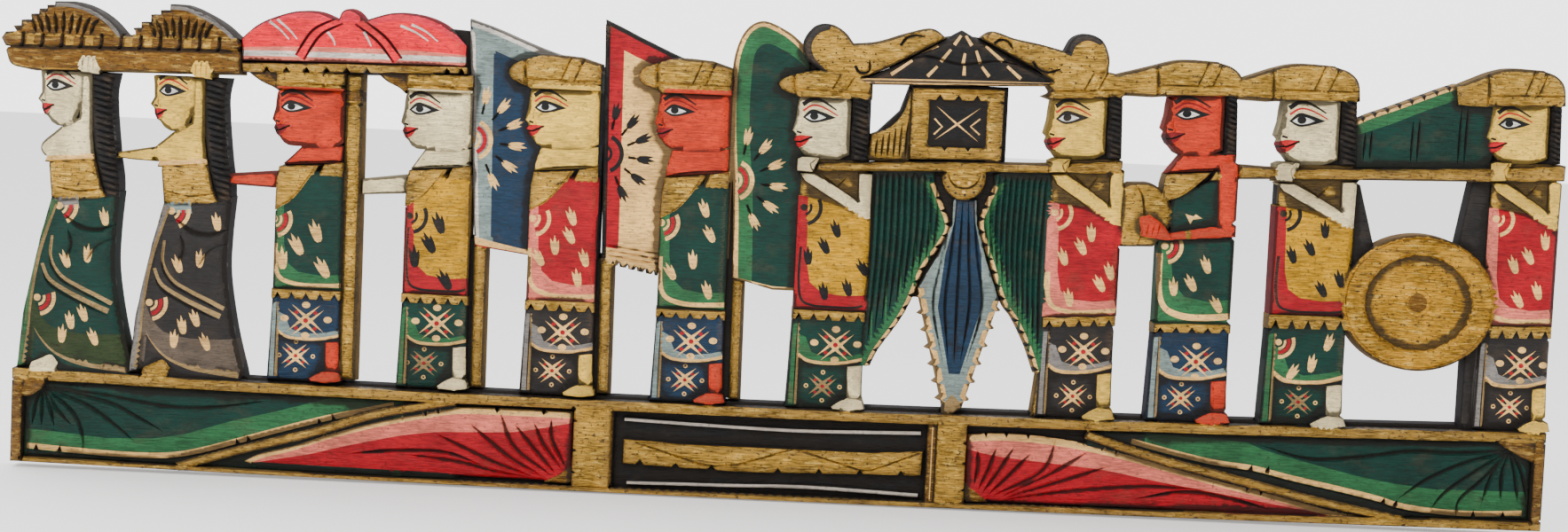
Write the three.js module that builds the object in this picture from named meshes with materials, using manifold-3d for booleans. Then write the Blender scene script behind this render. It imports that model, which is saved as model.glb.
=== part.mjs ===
// Carved and pierced wall panel: a procession of figures standing on a framed base, cut from one plank.
// Millimetres, +Z up. The back is flat in the plane y = 0 and the carving faces -Y.
// Outlines are drawn on the face of the plank: x from the middle of the base, z from the base's lower edge.

import * as THREE from 'three';
import { mergeVertices } from 'three/addons/utils/BufferGeometryUtils.js';
import { ConvexGeometry } from 'three/addons/geometries/ConvexGeometry.js';
import Module from 'manifold-3d';

const wasm = await Module();
wasm.setup();

const HALF_LENGTH = 490;
const PLANK_THICKNESS = 20;
const ORIGIN_HEIGHT = 28;
const OVERRUN = 4;
const SMALLEST_STEP = 0.2;

// How wide the chamfer is along a front edge: most forms, the umbrella, posts and rope, carrying poles
const EDGE = 1;
const CANOPY_EDGE = 1.5;
const POST_EDGE = 1.6;
const POLE_EDGE = 1.8;

// How far each level of the carving stands forward of the flat back
const LEVEL = {
  ledge: 10,
  middleField: 11,
  field: 14,
  flag: 12,
  gongBoss: 12,
  flagPole: 13,
  arm: 13.5,
  lowerSkirt: 13.5,
  curtain: 14,
  comb: 13,
  window: 13,
  neck: 14.8,
  chest: 15,
  upperSkirt: 15.2,
  banner: 13,
  cabin: 15.5,
  hair: 16,
  dome: 16.5,
  pendant: 15.5,
  gongDish: 14.6,
  hemFold: 16.2,
  wrap: 16.3,
  frontFold: 16.7,
  sash: 17,
  hemBand: 17,
  head: 17.2,
  canopy: 17,
  scroll: 17.5,
  roof: 17.5,
  tray: 16.5,
  hand: 18.1,
  hat: 18.2,
  hatRoll: 18.8,
  hatBand: 18.9,
  bentArm: 18,
  gong: 18,
  rope: 18.6,
  pole: 19,
  block: 18.5,
  diagonal: 18.5,
  rail: 19.5,
  foot: PLANK_THICKNESS,
};

// Outline helpers

const smooth = (steps, ...points) =>
  new THREE.SplineCurve(points.map(([x, z]) => new THREE.Vector2(x, z)))
    .getPoints(steps)
    .map((point) => [point.x, point.y]);

const arc = (centre, radii, fromDegrees, toDegrees, steps) =>
  Array.from({ length: steps + 1 }, (_, i) => {
    const angle = THREE.MathUtils.degToRad(fromDegrees + ((toDegrees - fromDegrees) * i) / steps);
    return [centre[0] + radii[0] * Math.cos(angle), centre[1] + radii[1] * Math.sin(angle)];
  });

// A band between two lines, given as functions of x
function strip(fromX, toX, lower, upper, steps) {
  const at = (i) => fromX + ((toX - fromX) * i) / steps;
  const row = Array.from({ length: steps + 1 }, (_, i) => at(i));
  return [...row.map((x) => [x, lower(x)]), ...row.reverse().map((x) => [x, upper(x)])];
}

// A band of even or tapering width along a list of points
function ribbon(points, widthStart, widthEnd = widthStart) {
  const side = (sign) =>
    points.map(([x, z], i) => {
      const [ax, az] = points[Math.max(i - 1, 0)];
      const [bx, bz] = points[Math.min(i + 1, points.length - 1)];
      const length = Math.hypot(bx - ax, bz - az);
      const half = (widthStart + ((widthEnd - widthStart) * i) / (points.length - 1)) / 2;
      return [x - (sign * half * (bz - az)) / length, z + (sign * half * (bx - ax)) / length];
    });
  return [...side(-1), ...side(1).reverse()];
}

// The edge between two points, with small pointed notches cut to its left
function notchedEdge(from, to, count, depth, share = 0.42) {
  const along = [to[0] - from[0], to[1] - from[1]];
  const length = Math.hypot(...along);
  const normal = [-along[1] / length, along[0] / length];
  const at = (t, lift = 0) => [0, 1].map((i) => from[i] + along[i] * t + normal[i] * lift);
  const notches = Array.from({ length: count }, (_, i) => {
    const middle = (i + 0.5) / count;
    const half = share / (2 * count);
    return [at(middle - half), at(middle, depth), at(middle + half)];
  });
  return [from, ...notches.flat(), to];
}

// Solids

function solidFrom(geometry) {
  geometry.deleteAttribute('normal');
  geometry.deleteAttribute('uv');
  const merged = mergeVertices(geometry, 1e-4);
  return new wasm.Manifold(
    new wasm.Mesh({
      numProp: 3,
      vertProperties: Float32Array.from(merged.attributes.position.array),
      triVerts: Uint32Array.from(merged.index.array),
    }),
  );
}

// An outline carried from behind the plank's back forward to its level, with its front edge chamfered
function slab(outline, level, bevel) {
  const corners = outline.filter(([x, z], i) => {
    const [lastX, lastZ] = outline.at(i - 1);
    return Math.hypot(x - lastX, z - lastZ) > SMALLEST_STEP + 0.8 * bevel;
  });
  const shape = new THREE.Shape(corners.map(([x, z]) => new THREE.Vector2(x, z)));
  const geometry = new THREE.ExtrudeGeometry(shape, {
    depth: level + OVERRUN - 2 * bevel,
    bevelEnabled: bevel > 0,
    bevelThickness: bevel,
    bevelSize: bevel,
    bevelOffset: -bevel,
    bevelSegments: 1,
  });
  geometry.translate(0, 0, bevel - OVERRUN);
  geometry.rotateX(Math.PI / 2);
  return solidFrom(geometry);
}

// The cutter for one gouge stroke, pointed at both ends and deepest at a share of its length
function gougeCutter({ from, to, width, depth, share = 0.5 }, level) {
  const lift = 1;
  const half = (width / 2) * ((depth + lift) / depth);
  const along = [to[0] - from[0], to[1] - from[1]];
  const length = Math.hypot(...along);
  const middle = [from[0] + along[0] * share, from[1] + along[1] * share];
  const side = [(-along[1] / length) * half, (along[0] / length) * half];
  const front = -(level + lift);
  return solidFrom(
    new ConvexGeometry([
      new THREE.Vector3(from[0], front, from[1]),
      new THREE.Vector3(to[0], front, to[1]),
      new THREE.Vector3(middle[0] + side[0], front, middle[1] + side[1]),
      new THREE.Vector3(middle[0] - side[0], front, middle[1] - side[1]),
      new THREE.Vector3(middle[0], depth - level, middle[1]),
    ]),
  );
}

const carved = [];

function carve(outline, level, { bevel = 0, gouges = [], hollows = [] } = {}) {
  const gouged = (solid, strokes, face) =>
    strokes.reduce((left, stroke) => left.subtract(gougeCutter(stroke, face)), solid);
  const hollowed = (solid, hollow) => {
    const prism = slab(hollow.outline, PLANK_THICKNESS + 1, 0);
    const cutter = prism.subtract(slab(hollow.outline, hollow.level, 0));
    return gouged(solid.subtract(cutter), hollow.gouges ?? [], hollow.level);
  };
  carved.push(hollows.reduce(hollowed, gouged(slab(outline, level, bevel), gouges, level)));
}

// The base: rails, end stiles, blocks, a middle panel and two pleated fans each side

const baseLine = (left, middle, right) => (x) => {
  const t = x / HALF_LENGTH;
  return middle + ((right - left) / 2) * t + ((left + right) / 2 - middle) * t * t;
};
const BASE_LINES = {
  bottom: baseLine(0, -3, 0),
  lowerRail: baseLine(4, 1, 7),
  upperRailFoot: baseLine(53, 50, 57),
  upperRail: baseLine(61, 57.5, 64.5),
  ledge: baseLine(63, 60, 68),
};
const STILE_WIDTH = 8;
const BASE_STEPS = 6;
const BLOCKS = [[-131, -106], [101, 121]];

const pleatFan = (centre, reach, angles, width, depth) =>
  angles.map((degrees) => {
    const angle = THREE.MathUtils.degToRad(degrees);
    const ray = [Math.cos(angle), Math.sin(angle)];
    const end = reach(degrees);
    const start = 6;
    return {
      from: [centre[0] + ray[0] * start, centre[1] + ray[1] * start],
      to: [centre[0] + ray[0] * end, centre[1] + ray[1] * end],
      width,
      depth,
      share: 0.35,
    };
  });

function base() {
  const { bottom, lowerRail, upperRailFoot, upperRail, ledge } = BASE_LINES;
  const half = HALF_LENGTH;
  const [leftBlock, rightBlock] = BLOCKS;
  const corner = { left: [-476, 50], right: [474, 52] };
  const hub = { left: [-133, 1], right: [123, 1] };
  const greenReach = (degrees) => 34 + 100 * Math.abs(Math.cos(THREE.MathUtils.degToRad(degrees))) ** 4;
  const redReach = (degrees) => 42 + 90 * Math.abs(Math.cos(THREE.MathUtils.degToRad(degrees))) ** 4;
  const recess = (from, to, level, steps, gouges = []) => ({
    outline: strip(from, to, lowerRail, upperRailFoot, steps), level, gouges,
  });
  carve(strip(-half, half, upperRailFoot, ledge, 4), LEVEL.ledge);
  carve(strip(-half, half, bottom, upperRail, BASE_STEPS), LEVEL.rail, {
    bevel: EDGE,
    hollows: [
      recess(STILE_WIDTH - half, leftBlock[0], LEVEL.field, 4, [
        ...pleatFan(corner.left, greenReach, [-84, -70, -57, -44, -32, -20, -9], 5, 2),
        ...pleatFan(hub.left, redReach, [106, 122, 136, 148, 158, 167], 6, 2.4),
      ]),
      recess(leftBlock[1], rightBlock[0], LEVEL.middleField, 2),
      recess(rightBlock[1], half - STILE_WIDTH, LEVEL.field, 4, [
        ...pleatFan(corner.right, greenReach, [-96, -110, -123, -136, -148, -160, -171], 5, 2),
        ...pleatFan(hub.right, redReach, [74, 58, 44, 32, 22, 13], 6, 2.4),
      ]),
    ],
  });
  const leftDiagonal = smooth(5, [-384, 0], [-345, 13], [-300, 27], [-262, 40], [-206, 52]);
  const rightDiagonal = smooth(5, [404, 2], [340, 14], [290, 25], [240, 36], [190, 50]);
  [leftDiagonal, rightDiagonal].forEach((line) => carve(ribbon(line, 6.5), LEVEL.diagonal, { bevel: EDGE }));
  carve([[-484, 56], [-484, 41], [-477, 42.5], [-470, 47.5], [-466, 56]], LEVEL.block);
  carve([[484, 59], [454, 59], [464, 52.5], [473, 47.5], [484, 43]], LEVEL.block);
}

function baseMiddlePanel() {
  carve(ribbon(smooth(3, [-99, 44.5], [-30, 43], [20, 42.5], [92, 44.5]), 3.4), LEVEL.chest);
  carve(ribbon(smooth(3, [-96, 3.8], [-30, 5], [20, 6.5], [92, 4.8]), 3.2), LEVEL.chest);
  carve([[95, -1], [103, -1], [103, 52], [95, 52]], LEVEL.upperSkirt);
  const zigzag = [[-90, 30], [-42, 17.5], [11, 31], [55, 19], [91, 32]];
  const incised = zigzag.slice(1).map((end, i) => ({ from: zigzag[i], to: end, width: 2, depth: 1.2 }));
  const barFoot = [
    ...notchedEdge([-99, 16], [-30, 14.2], 3, 2.6, 0.2),
    ...notchedEdge([-12, 14.2], [93, 17], 4, 2.6, 0.14),
  ];
  carve([...barFoot, [94, 34], [60, 31.5], [-60, 31.5], [-99, 33]], LEVEL.wrap, { gouges: incised });
}

// Figures. A man is drawn once, on a body 45 mm wide, and fitted to each place by its own heights.

const MAN = {
  ledge: 60, knee: 86, hem: 112, wrap: 118.5, chest: 172, collar: 199, jaw: 216, brow: 253, crown: 272,
};
const BEARER = { ...MAN, chest: 181, collar: 208 };
const BODY_WIDTH = 45;

const men = [
  {
    left: -326.5, right: -282, heights: [62.5, 86.5, 112, 118.5, 168, 197, 210, 246, 257],
    neck: 16, face: 1,
  },
  {
    left: -244, right: -201, heights: [61.5, 87, 113, 119, 174, 198, 211.5, 248.5, 259],
    neck: 12, face: 0,
  },
  {
    left: -165, right: -120, heights: [61, 86, 112, 118.5, 175, 200.5, 216.5, 253.5, 273],
    neck: 6, face: 0, cap: 16,
  },
  {
    left: -81.5, right: -37, heights: [60, 84, 111, 117, 174, 200.5, 219, 254.5, 274.5],
    neck: 6, face: -1.5, cap: 17,
  },
  {
    left: 235.5, right: 285, rise: 1.5, heights: [62, 86.5, 116, 121.5, 199, 217.5, 230, 267.5, 288],
    neck: 11, face: 4, hair: [35, 42], cap: 29, capLift: 12, blouse: 178,
  },
];
const bearers = [
  {
    left: 5.5, right: 52, heights: [60, 86.5, 114, 120.5, 181, 208.5, 217, 256, 271],
    face: -0.5, hair: [31, 41.5], cap: 15,
  },
  {
    left: 165, right: 211.5, rise: 3, heights: [61, 86.5, 116, 122.5, 181, 215, 223, 262, 278],
    face: 0, hair: [33.5, 42.5], cap: 5,
  },
  {
    left: 308.5, right: 359, rise: 1, heights: [63, 87.5, 122, 131, 188, 216, 227.5, 268, 289],
    face: 3.5, hair: [34.5, 43.5], cap: 25, capLift: 11,
  },
  {
    left: 444, right: 489, rise: 1.5, heights: [66, 91, 122, 130, 192, 222.5, 234, 270.5, 292],
    face: 0.5, hair: [36, 43], cap: 24, capLift: 11,
  },
];

function fitted(figure, template) {
  const levels = Object.values(template);
  const scale = (figure.right - figure.left) / BODY_WIDTH;
  return ([u, v]) => {
    const i = Math.min(Math.max(levels.findIndex((level) => v < level), 1), levels.length - 1);
    const span = v >= levels.at(-1) ? levels.length - 1 : i;
    const share = (v - levels[span - 1]) / (levels[span] - levels[span - 1]);
    const height = figure.heights[span - 1] + share * (figure.heights[span] - figure.heights[span - 1]);
    const rise = (figure.rise ?? 0) * (u / BODY_WIDTH) * THREE.MathUtils.clamp((v - MAN.ledge) / 26, 0, 1);
    return [figure.left + u * scale, height + rise];
  };
}

function skirtsAndFoot(shape) {
  carve(shape([[-1.5, 57], [45.5, 57], [45.5, 92], [0, 92]]), LEVEL.lowerSkirt);
  carve(shape([[-2.5, 57.5], [5.5, 57.5], [5.5, 117], [0, 117]]), LEVEL.upperSkirt);
  const fold = smooth(3, [4, 88], [18, 84.5], [32, 85], [45, 88]);
  carve(shape([[4, 117], ...fold, [45, 117]]), LEVEL.upperSkirt);
  carve(shape([[35.5, 60], [46, 60], [45, 85.5], [35, 85]]), LEVEL.upperSkirt);
  const instep = smooth(3, [26, 60], [31, 63.5], [36, 66]);
  carve(shape([[27, 57.5], ...instep, [46, 65], [48, 58.5], [38, 56.5]]), LEVEL.foot);
  const scallops = notchedEdge([-0.4, 112], [45.4, 112], 5, 3.6);
  carve(shape([...scallops, [45.4, 119.4], [-0.4, 119.4]]), LEVEL.hemBand);
}

function head(shape, figure, template) {
  const profile = [
    [-1.5, 254], [-2.5, 247], [-3, 240.5], [-5, 232.5], [-2.8, 230.2], [-3.8, 227.3],
    [-1.8, 223], [0.4, 221], [3, 217.5], [6.5, 215.5],
  ].map(([u, v]) => [u + figure.face, v]);
  const nape = figure.hair ? figure.hair[0] : 43.5;
  carve(shape([...profile, [nape, 216.5], [nape, 255]]), LEVEL.head);
  if (figure.hair) {
    const [from, to] = figure.hair;
    carve(shape([[from - 1, 215.5], [to + 1.3, 215.5], [to, 256], [from - 1, 256]]), LEVEL.hair);
  }
  if (figure.cap) hat(shape, figure);
  else carve(shape([[-1, 253], [43.5, 253], [43.5, 273], [-2, 273]]), LEVEL.sash);
  carve(shape([[-0.5, 252.5], [nape, 252.5], [nape, 256.5], [-0.5, 256.5]]), LEVEL.hatRoll);
}

function hat(shape, figure) {
  const reach = -figure.cap;
  const lift = figure.capLift ?? 0;
  const tip = lift
    ? [[reach, 252.5], [reach - 2, 252.5 + lift]]
    : smooth(5, [-8, 255], [reach + 2, 258], [reach, 263], [reach + 3, 267.5], [-6, 271]);
  const back = lift
    ? smooth(4, [30, 273], [38, 270], [43.5, 264], [45, 252.5])
    : [[43.5, 269.5], [43.5, 253]];
  const brim = lift ? [[-6, 251.5], [-1, 252]] : [[-1, 252]];
  const crown = smooth(4, [30, 273.5], [15, 274.5], [5, 274], [-6, 271]);
  carve(shape([...back.reverse(), ...crown, ...tip.reverse(), ...brim]), LEVEL.hat);
  carve(shape([[19.5, 255.5], [24, 255.5], [30, 272], [25.5, 272]]), LEVEL.hatBand);
}

function standingMan(figure) {
  const place = fitted(figure, MAN);
  const shape = (points) => points.map(place);
  const shoulder = smooth(4, [2, 199], [figure.neck * 0.5, 206], [figure.neck, 216.5]);
  skirtsAndFoot(shape);
  if (figure.blouse) {
    const [, , , wrapFoot, chestLine] = figure.heights;
    const waist = (figure.blouse - wrapFoot) / (chestLine - wrapFoot);
    const waistLine = MAN.wrap + waist * (MAN.chest - MAN.wrap);
    const wrap = [[0, 118.5], [45, 118.5], [45, waistLine + 1], [0, waistLine - 1]];
    carve(shape(wrap), LEVEL.wrap, { bevel: EDGE });
    carve(shape([[6, waistLine - 2], [45, waistLine], [45, 204], [6, 180]]), LEVEL.chest);
  } else {
    const wrap = [[0, 118.5], [45, 118.5], [45, 198], [3, 198], [0.5, 190], [0, 172]];
    carve(shape(wrap), LEVEL.wrap, { bevel: EDGE });
  }
  const sashEdge = smooth(4, [0, 172], [11, 177], [20, 187], [30, 202]);
  carve(shape([[0, 172], ...sashEdge, [2, 199.5], [0.5, 190]]), LEVEL.sash);
  carve(shape([[27, 193], [44, 193.5], [44, 205], [31, 202.5]]), LEVEL.sash);
  carve(shape([...shoulder.reverse(), [43.5, 203], [43.5, 218]]), LEVEL.neck);
  head(shape, figure, MAN);
}

function bearer(figure) {
  const place = fitted(figure, BEARER);
  const shape = (points) => points.map(place);
  skirtsAndFoot(shape);
  carve(shape([[0, 118.5], [46, 118.5], [46, 184], [30, 190], [0, 190]]), LEVEL.wrap, { bevel: EDGE });
  carve(shape([[1, 186], [43.6, 178], [43.6, 216.4], [1, 216.4]]), LEVEL.lowerSkirt);
  carve(shape([[0, 207.5], [4, 202], [40, 180], [45.5, 180], [45.5, 187], [10, 208]]), LEVEL.bentArm);
  carve(shape([[36, 186], [45.5, 180.5], [46, 209], [35, 209]]), LEVEL.bentArm);
  carve(shape([[-1.5, 216], [-1.5, 208], [9, 207.5], [13, 217], [2, 217.5]]), LEVEL.foot);
  head(shape, figure, BEARER);
}

// A woman is drawn once, at the left end, and repeated one place to the right
const WOMAN_STEP = 71.5;

function woman(shift) {
  const shape = (points) => points.map(([x, z]) => [x + shift, z]);
  const face = [
    [-478, 251], [-477.3, 245], [-477, 237], [-479.6, 232.3], [-477, 229.7],
    [-476.6, 226], [-475, 222.6], [-472.5, 221], [-470, 217.5],
  ];
  const cheek = smooth(5, [-466, 215.3], [-458, 216.5], [-452.5, 223], [-450.5, 236], [-450.5, 251]);
  carve(shape([...face, ...cheek]), LEVEL.head);
  const bust = smooth(6, [-464, 216], [-469, 211.5], [-476, 205], [-476.5, 199], [-471, 193]);
  carve(shape([...bust, [-441, 193], [-443, 210], [-444, 251], [-453, 251], [-453, 222]]), LEVEL.neck);
  carve(shape([[-474, 193], [-472, 196.5], [-441, 200], [-440.5, 196]]), LEVEL.wrap);
  carve(shape([[-472, 194], [-469, 169], [-432, 170], [-441, 198]]), LEVEL.chest);
  const ridges = [193, 202, 211, 220, 229, 238].map((z) => {
    const edge = -430.5 + (238 - z) * 0.085;
    return { from: shape([[edge - 13, z + 1]])[0], to: shape([[edge + 1, z]])[0], width: 3, depth: 1.4 };
  });
  const hairFront = [[-445, 251], [-444, 215], [-441, 195], [-434, 172]];
  const hairBack = [[-425, 172], [-425.5, 185], [-428, 202], [-431, 235], [-429, 251]];
  carve(shape([...hairFront, ...hairBack]), LEVEL.hair, { gouges: ridges });
  const skirtFront = smooth(5, [-468.5, 172], [-476, 142], [-483, 110], [-486.5, 80], [-489, 60]);
  const skirtBack = smooth(5, [-414, 65], [-421, 92], [-426.5, 125], [-426.5, 150], [-424.5, 176]);
  carve(shape([...skirtFront, [-413, 60], ...skirtBack]), LEVEL.chest, { bevel: EDGE });
  const hem = smooth(4, [-477.5, 92], [-472, 83], [-463, 74], [-449, 68]);
  carve(shape([[-480, 60], ...hem, [-418, 64.5], [-412, 57.5], [-480, 57.5]]), LEVEL.hemFold);
  const frontFold = [
    [-463, 168], ...smooth(4, [-463, 168], [-473, 135], [-478, 105], [-479.5, 84]),
    [-482, 62], [-488, 60], [-485, 96], [-476, 142], [-468.5, 171],
  ];
  carve(shape(frontFold), LEVEL.frontFold);
  const instep = smooth(3, [-472, 68], [-465, 70.5], [-460, 65]);
  carve(shape([[-481, 57.5], [-478, 65], ...instep, [-462, 57.5]]), LEVEL.rail);
  const hand = [[-453, 250], [-454, 258], [-452, 261.5], [-441, 261.5], [-438.5, 256], [-439, 249]];
  carve(shape(hand), LEVEL.hand);
}

function arms() {
  carve([[-428, 197], [-420, 196], [-404, 195.5], [-402, 206], [-415, 203.5], [-428, 201]], LEVEL.arm);
  carve([[-356, 183], [-325, 182], [-322, 194], [-356, 190.5]], LEVEL.arm);
  carve([[-272, 180.5], [-243, 182.5], [-240, 195.5], [-272, 191]], LEVEL.arm);
  carve([[272.5, 180], [285, 178.5], [285, 226], [280, 229], [271, 229]], LEVEL.bentArm);
  const forearm = [[224, 177], [240, 175], [285, 179], [285, 187.5], [268, 186], [243, 181]];
  carve([...forearm, [229, 192], [222, 190]], LEVEL.pole, { bevel: EDGE });
}

// What the women carry: two ribbed domes on a roped tray

function offerings() {
  const stepped = (points) => points.slice(1).flatMap(([x, z], i) => [[points[i][0], z], [x, z]]);
  const left = [
    ...smooth(5, [-424, 275], [-434, 285], [-446, 292], [-458, 295], [-470, 295]),
    ...stepped([
      [-470, 295], [-475, 292.5], [-480, 290], [-485, 286.5], [-491, 282.5], [-496, 278.5], [-501, 273],
    ]),
  ];
  const right = [
    ...smooth(5, [-351, 276], [-362, 285], [-375, 292], [-386, 296], [-397, 296.5]),
    ...stepped([[-397, 296.5], [-403, 292.5], [-409, 289.5], [-415, 284.5], [-420, 280.5], [-425, 275]]),
  ];
  const ribs = (centre, count) =>
    Array.from({ length: count }, (_, i) => {
      const offset = (i - (count - 1) / 2) * 5.8;
      const top = [centre + offset * 1.25, 289 - Math.abs(offset) * 0.2];
      return { from: [centre + offset, 275], to: top, width: 3, depth: 1.6, share: 0.6 };
    });
  const dome = (outline, centre) => {
    const foot = [[outline.at(-1)[0], 270], [outline[0][0], 270]];
    carve([...outline, ...foot], LEVEL.dome, { gouges: ribs(centre, 6) });
  };
  dome(left, -463);
  dome(right, -392);
  carve([[-500, 266], [-496, 253], [-484, 250], [-349.5, 253], [-349.5, 269]], LEVEL.tray, { bevel: EDGE });
  const joints = Array.from({ length: 9 }, (_, i) => {
    const x = -486 + i * 14.8;
    return { from: [x, 264 + i * 0.2], to: [x + 1, 276 + i * 0.2], width: 2.4, depth: 1.6 };
  });
  const ropeTop = [[-503, 270], [-500, 274.5], [-470, 274.8], [-353, 277], [-350, 272]];
  carve([...ropeTop, [-352, 267.5], [-500, 264.5]], LEVEL.rope, { bevel: POST_EDGE, gouges: joints });
}

function umbrella() {
  const canopy = [
    [-207, 263], [-207.5, 277],
    ...smooth(7, [-208, 279], [-217, 287.5], [-227, 293.5], [-240, 297], [-256, 297.3], [-273, 292]),
    ...smooth(5, [-273, 292], [-277, 296.5], [-283, 298.8], [-288, 296.5], [-290, 291.5]),
    ...smooth(7, [-290, 291.5], [-302, 295.8], [-316, 295.8], [-330, 291.5], [-341, 286], [-351, 277]),
    [-350, 262],
  ];
  const rib = (points) => ({ from: points[0], to: points[1], width: 2.6, depth: 1.5 });
  const ribs = [
    rib([[-288, 290], [-308, 278]]), rib([[-306, 280], [-319, 262]]), rib([[-292, 284], [-314, 266]]),
    rib([[-279, 290], [-264, 276]]), rib([[-267, 279], [-256, 262]]), rib([[-272, 290], [-251, 263]]),
  ];
  carve(canopy, LEVEL.canopy, { bevel: CANOPY_EDGE, gouges: ribs });
  const fringe = [
    [-350, 261], [-349, 255], ...notchedEdge([-340, 255], [-264, 258], 6, 3, 0.3), [-225, 259.5],
    ...notchedEdge([-224, 259.5], [-206, 260], 2, 3, 0.35), [-206.5, 265],
  ];
  carve(fringe, LEVEL.rope);
  const leftCorner = smooth(4, [-350, 258], [-339, 250], [-330, 246], [-325, 243]);
  carve([...leftCorner, [-321, 247], [-318, 259]], LEVEL.chest);
  const rightCorner = smooth(4, [-266, 260], [-259, 253.5], [-250, 249], [-246, 245.5]);
  carve([...rightCorner, [-242, 249], [-238, 260]], LEVEL.chest);
  const post = [[-283.5, 62], [-271.3, 62], [-271.5, 150], [-272.5, 258], [-285, 258]];
  carve(post, LEVEL.flagPole, { bevel: POST_EDGE });
}

// Flags behind the men, each on its pole

function flags() {
  const petals = (centre, reach, degrees) =>
    degrees.map((angle) => {
      const radians = THREE.MathUtils.degToRad(angle);
      const ray = [Math.cos(radians), Math.sin(radians)];
      return {
        from: [centre[0] + ray[0] * reach, centre[1] + ray[1] * reach],
        to: [centre[0] + ray[0] * (reach + 11), centre[1] + ray[1] * (reach + 11)],
        width: 4.5, depth: 1.3,
      };
    });
  const petalAngles = [75, 45, 18, -10, -38, -68];
  const firstTop = smooth(4, [-190, 291], [-168, 282], [-145, 275], [-119, 268.5]);
  carve([[-199.5, 152], [-207.5, 294], [-205, 297.5], ...firstTop, [-119, 146], [-165, 146.5]], LEVEL.flag, {
    gouges: petals([-203, 219], 18, petalAngles),
  });
  carve([[-199.5, 158.5], [-199, 151], [-160, 146], [-160, 150], [-190, 156]], LEVEL.flagPole);
  const hemLobes = notchedEdge([-110, 142.5], [-82, 137], 5, 2.6, 0.35);
  const secondTop = smooth(4, [-38, 269], [-65, 275], [-95, 287.5], [-121.5, 299.5]);
  carve([[-118, 144], ...hemLobes, [-79, 150], [-36, 150], [-36, 268.5], ...secondTop], LEVEL.flag, {
    gouges: petals([-118, 214], 17, petalAngles),
  });
  carve([[-118, 147], [-121.5, 297], [-117, 295], [-114, 147]], LEVEL.flagPole);
  const roundTop = smooth(
    9,
    [10, 284], [3, 291], [-6, 297.5], [-20, 303], [-30, 299],
    [-36.5, 288], [-39.7, 270], [-39.5, 235], [-36, 190],
  );
  carve([[-33, 138], [-8, 131.5], [10, 131.5], [10, 284], ...roundTop, [-34, 138]], LEVEL.flag, {
    gouges: petals([-33, 201], 18, petalAngles),
  });
  [[-199.7, -190, 153], [-118.5, -109, 146], [-34, -25.5, 138]].forEach(([from, to, top]) => {
    carve([[from + 1, 58], [to + 0.5, 58], [to, top], [from, top]], LEVEL.flagPole, { bevel: POST_EDGE });
  });
}

// The palanquin between the first two bearers

const PALANQUIN_MIDDLE = 109.5;

function palanquinRoof() {
  const slope = [[40, 266], [43, 269.5], [52, 273], [66, 280], [82, 289], [95, 297], [105, 303]];
  const eaves = [[115, 297.5], [130, 290], [145, 282], [158, 277], [166, 273], [158, 269.5]];
  carve([...slope, ...eaves], LEVEL.roof);
  carve([[40, 265.5], [100, 267], [160, 269.5], [165, 272.5], [100, 271.5], [43, 270]], LEVEL.pole);
  const leftScroll = [
    ...smooth(9, [16, 273], [6, 281], [5, 292], [12, 301.5], [22, 303], [31, 298.5], [37, 291.5]),
    ...smooth(4, [37, 291.5], [52, 293.5], [70, 299.5], [86, 303.2], [96, 297]),
    ...smooth(4, [96, 297], [80, 288], [62, 278], [46, 270]), [36, 266.5], [24, 270],
  ];
  const rightScroll = [
    ...smooth(4, [115, 298], [124, 303.2], [138, 299.5], [155, 296.5], [170, 293]),
    ...smooth(7, [170, 293], [175, 301.5], [184, 304.6], [194, 300.5], [199, 290], [199, 280]),
    [190, 276], [178, 271], [165, 271.5], [150, 281],
  ];
  const crescent = (from, to) => ({ from, to, width: 4, depth: 2 });
  const leftCrescents = [crescent([38, 276], [47, 280]), crescent([68, 291], [80, 297])];
  const rightCrescents = [crescent([126, 295], [136, 291]), crescent([152, 284], [168, 279])];
  carve(leftScroll, LEVEL.scroll, { gouges: leftCrescents });
  carve(rightScroll, LEVEL.scroll, { gouges: rightCrescents });
}

function palanquinCabin() {
  const window = { outline: [[87, 230], [122, 230], [122, 256], [87, 256]], level: LEVEL.window };
  carve([[74.5, 219], [134, 219], [134, 268], [75, 268]], LEVEL.cabin, { hollows: [window] });
  carve([...notchedEdge([75, 257], [134, 258], 5, 3, 0.35), [134, 266.5], [75, 265.5]], LEVEL.frontFold);
  const sillTop = notchedEdge([134, 229.5], [75, 228.5], 4, 2.2, 0.2);
  carve([[75, 219], [134, 221], [134, 229.5], ...sillTop, [75, 228.5]], LEVEL.frontFold);
  const grooves = Array.from({ length: 5 }, (_, i) => {
    const x = 55 + i * 4.4;
    return { from: [x, 222], to: [x + 1, 234 + i], width: 2.2, depth: 1.6 };
  });
  const combSide = smooth(5, [73, 262], [70, 250], [62, 240], [50, 234.5]);
  carve([[48, 217], [76, 217], [76, 265], ...combSide], LEVEL.comb, { gouges: grooves });
}

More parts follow.
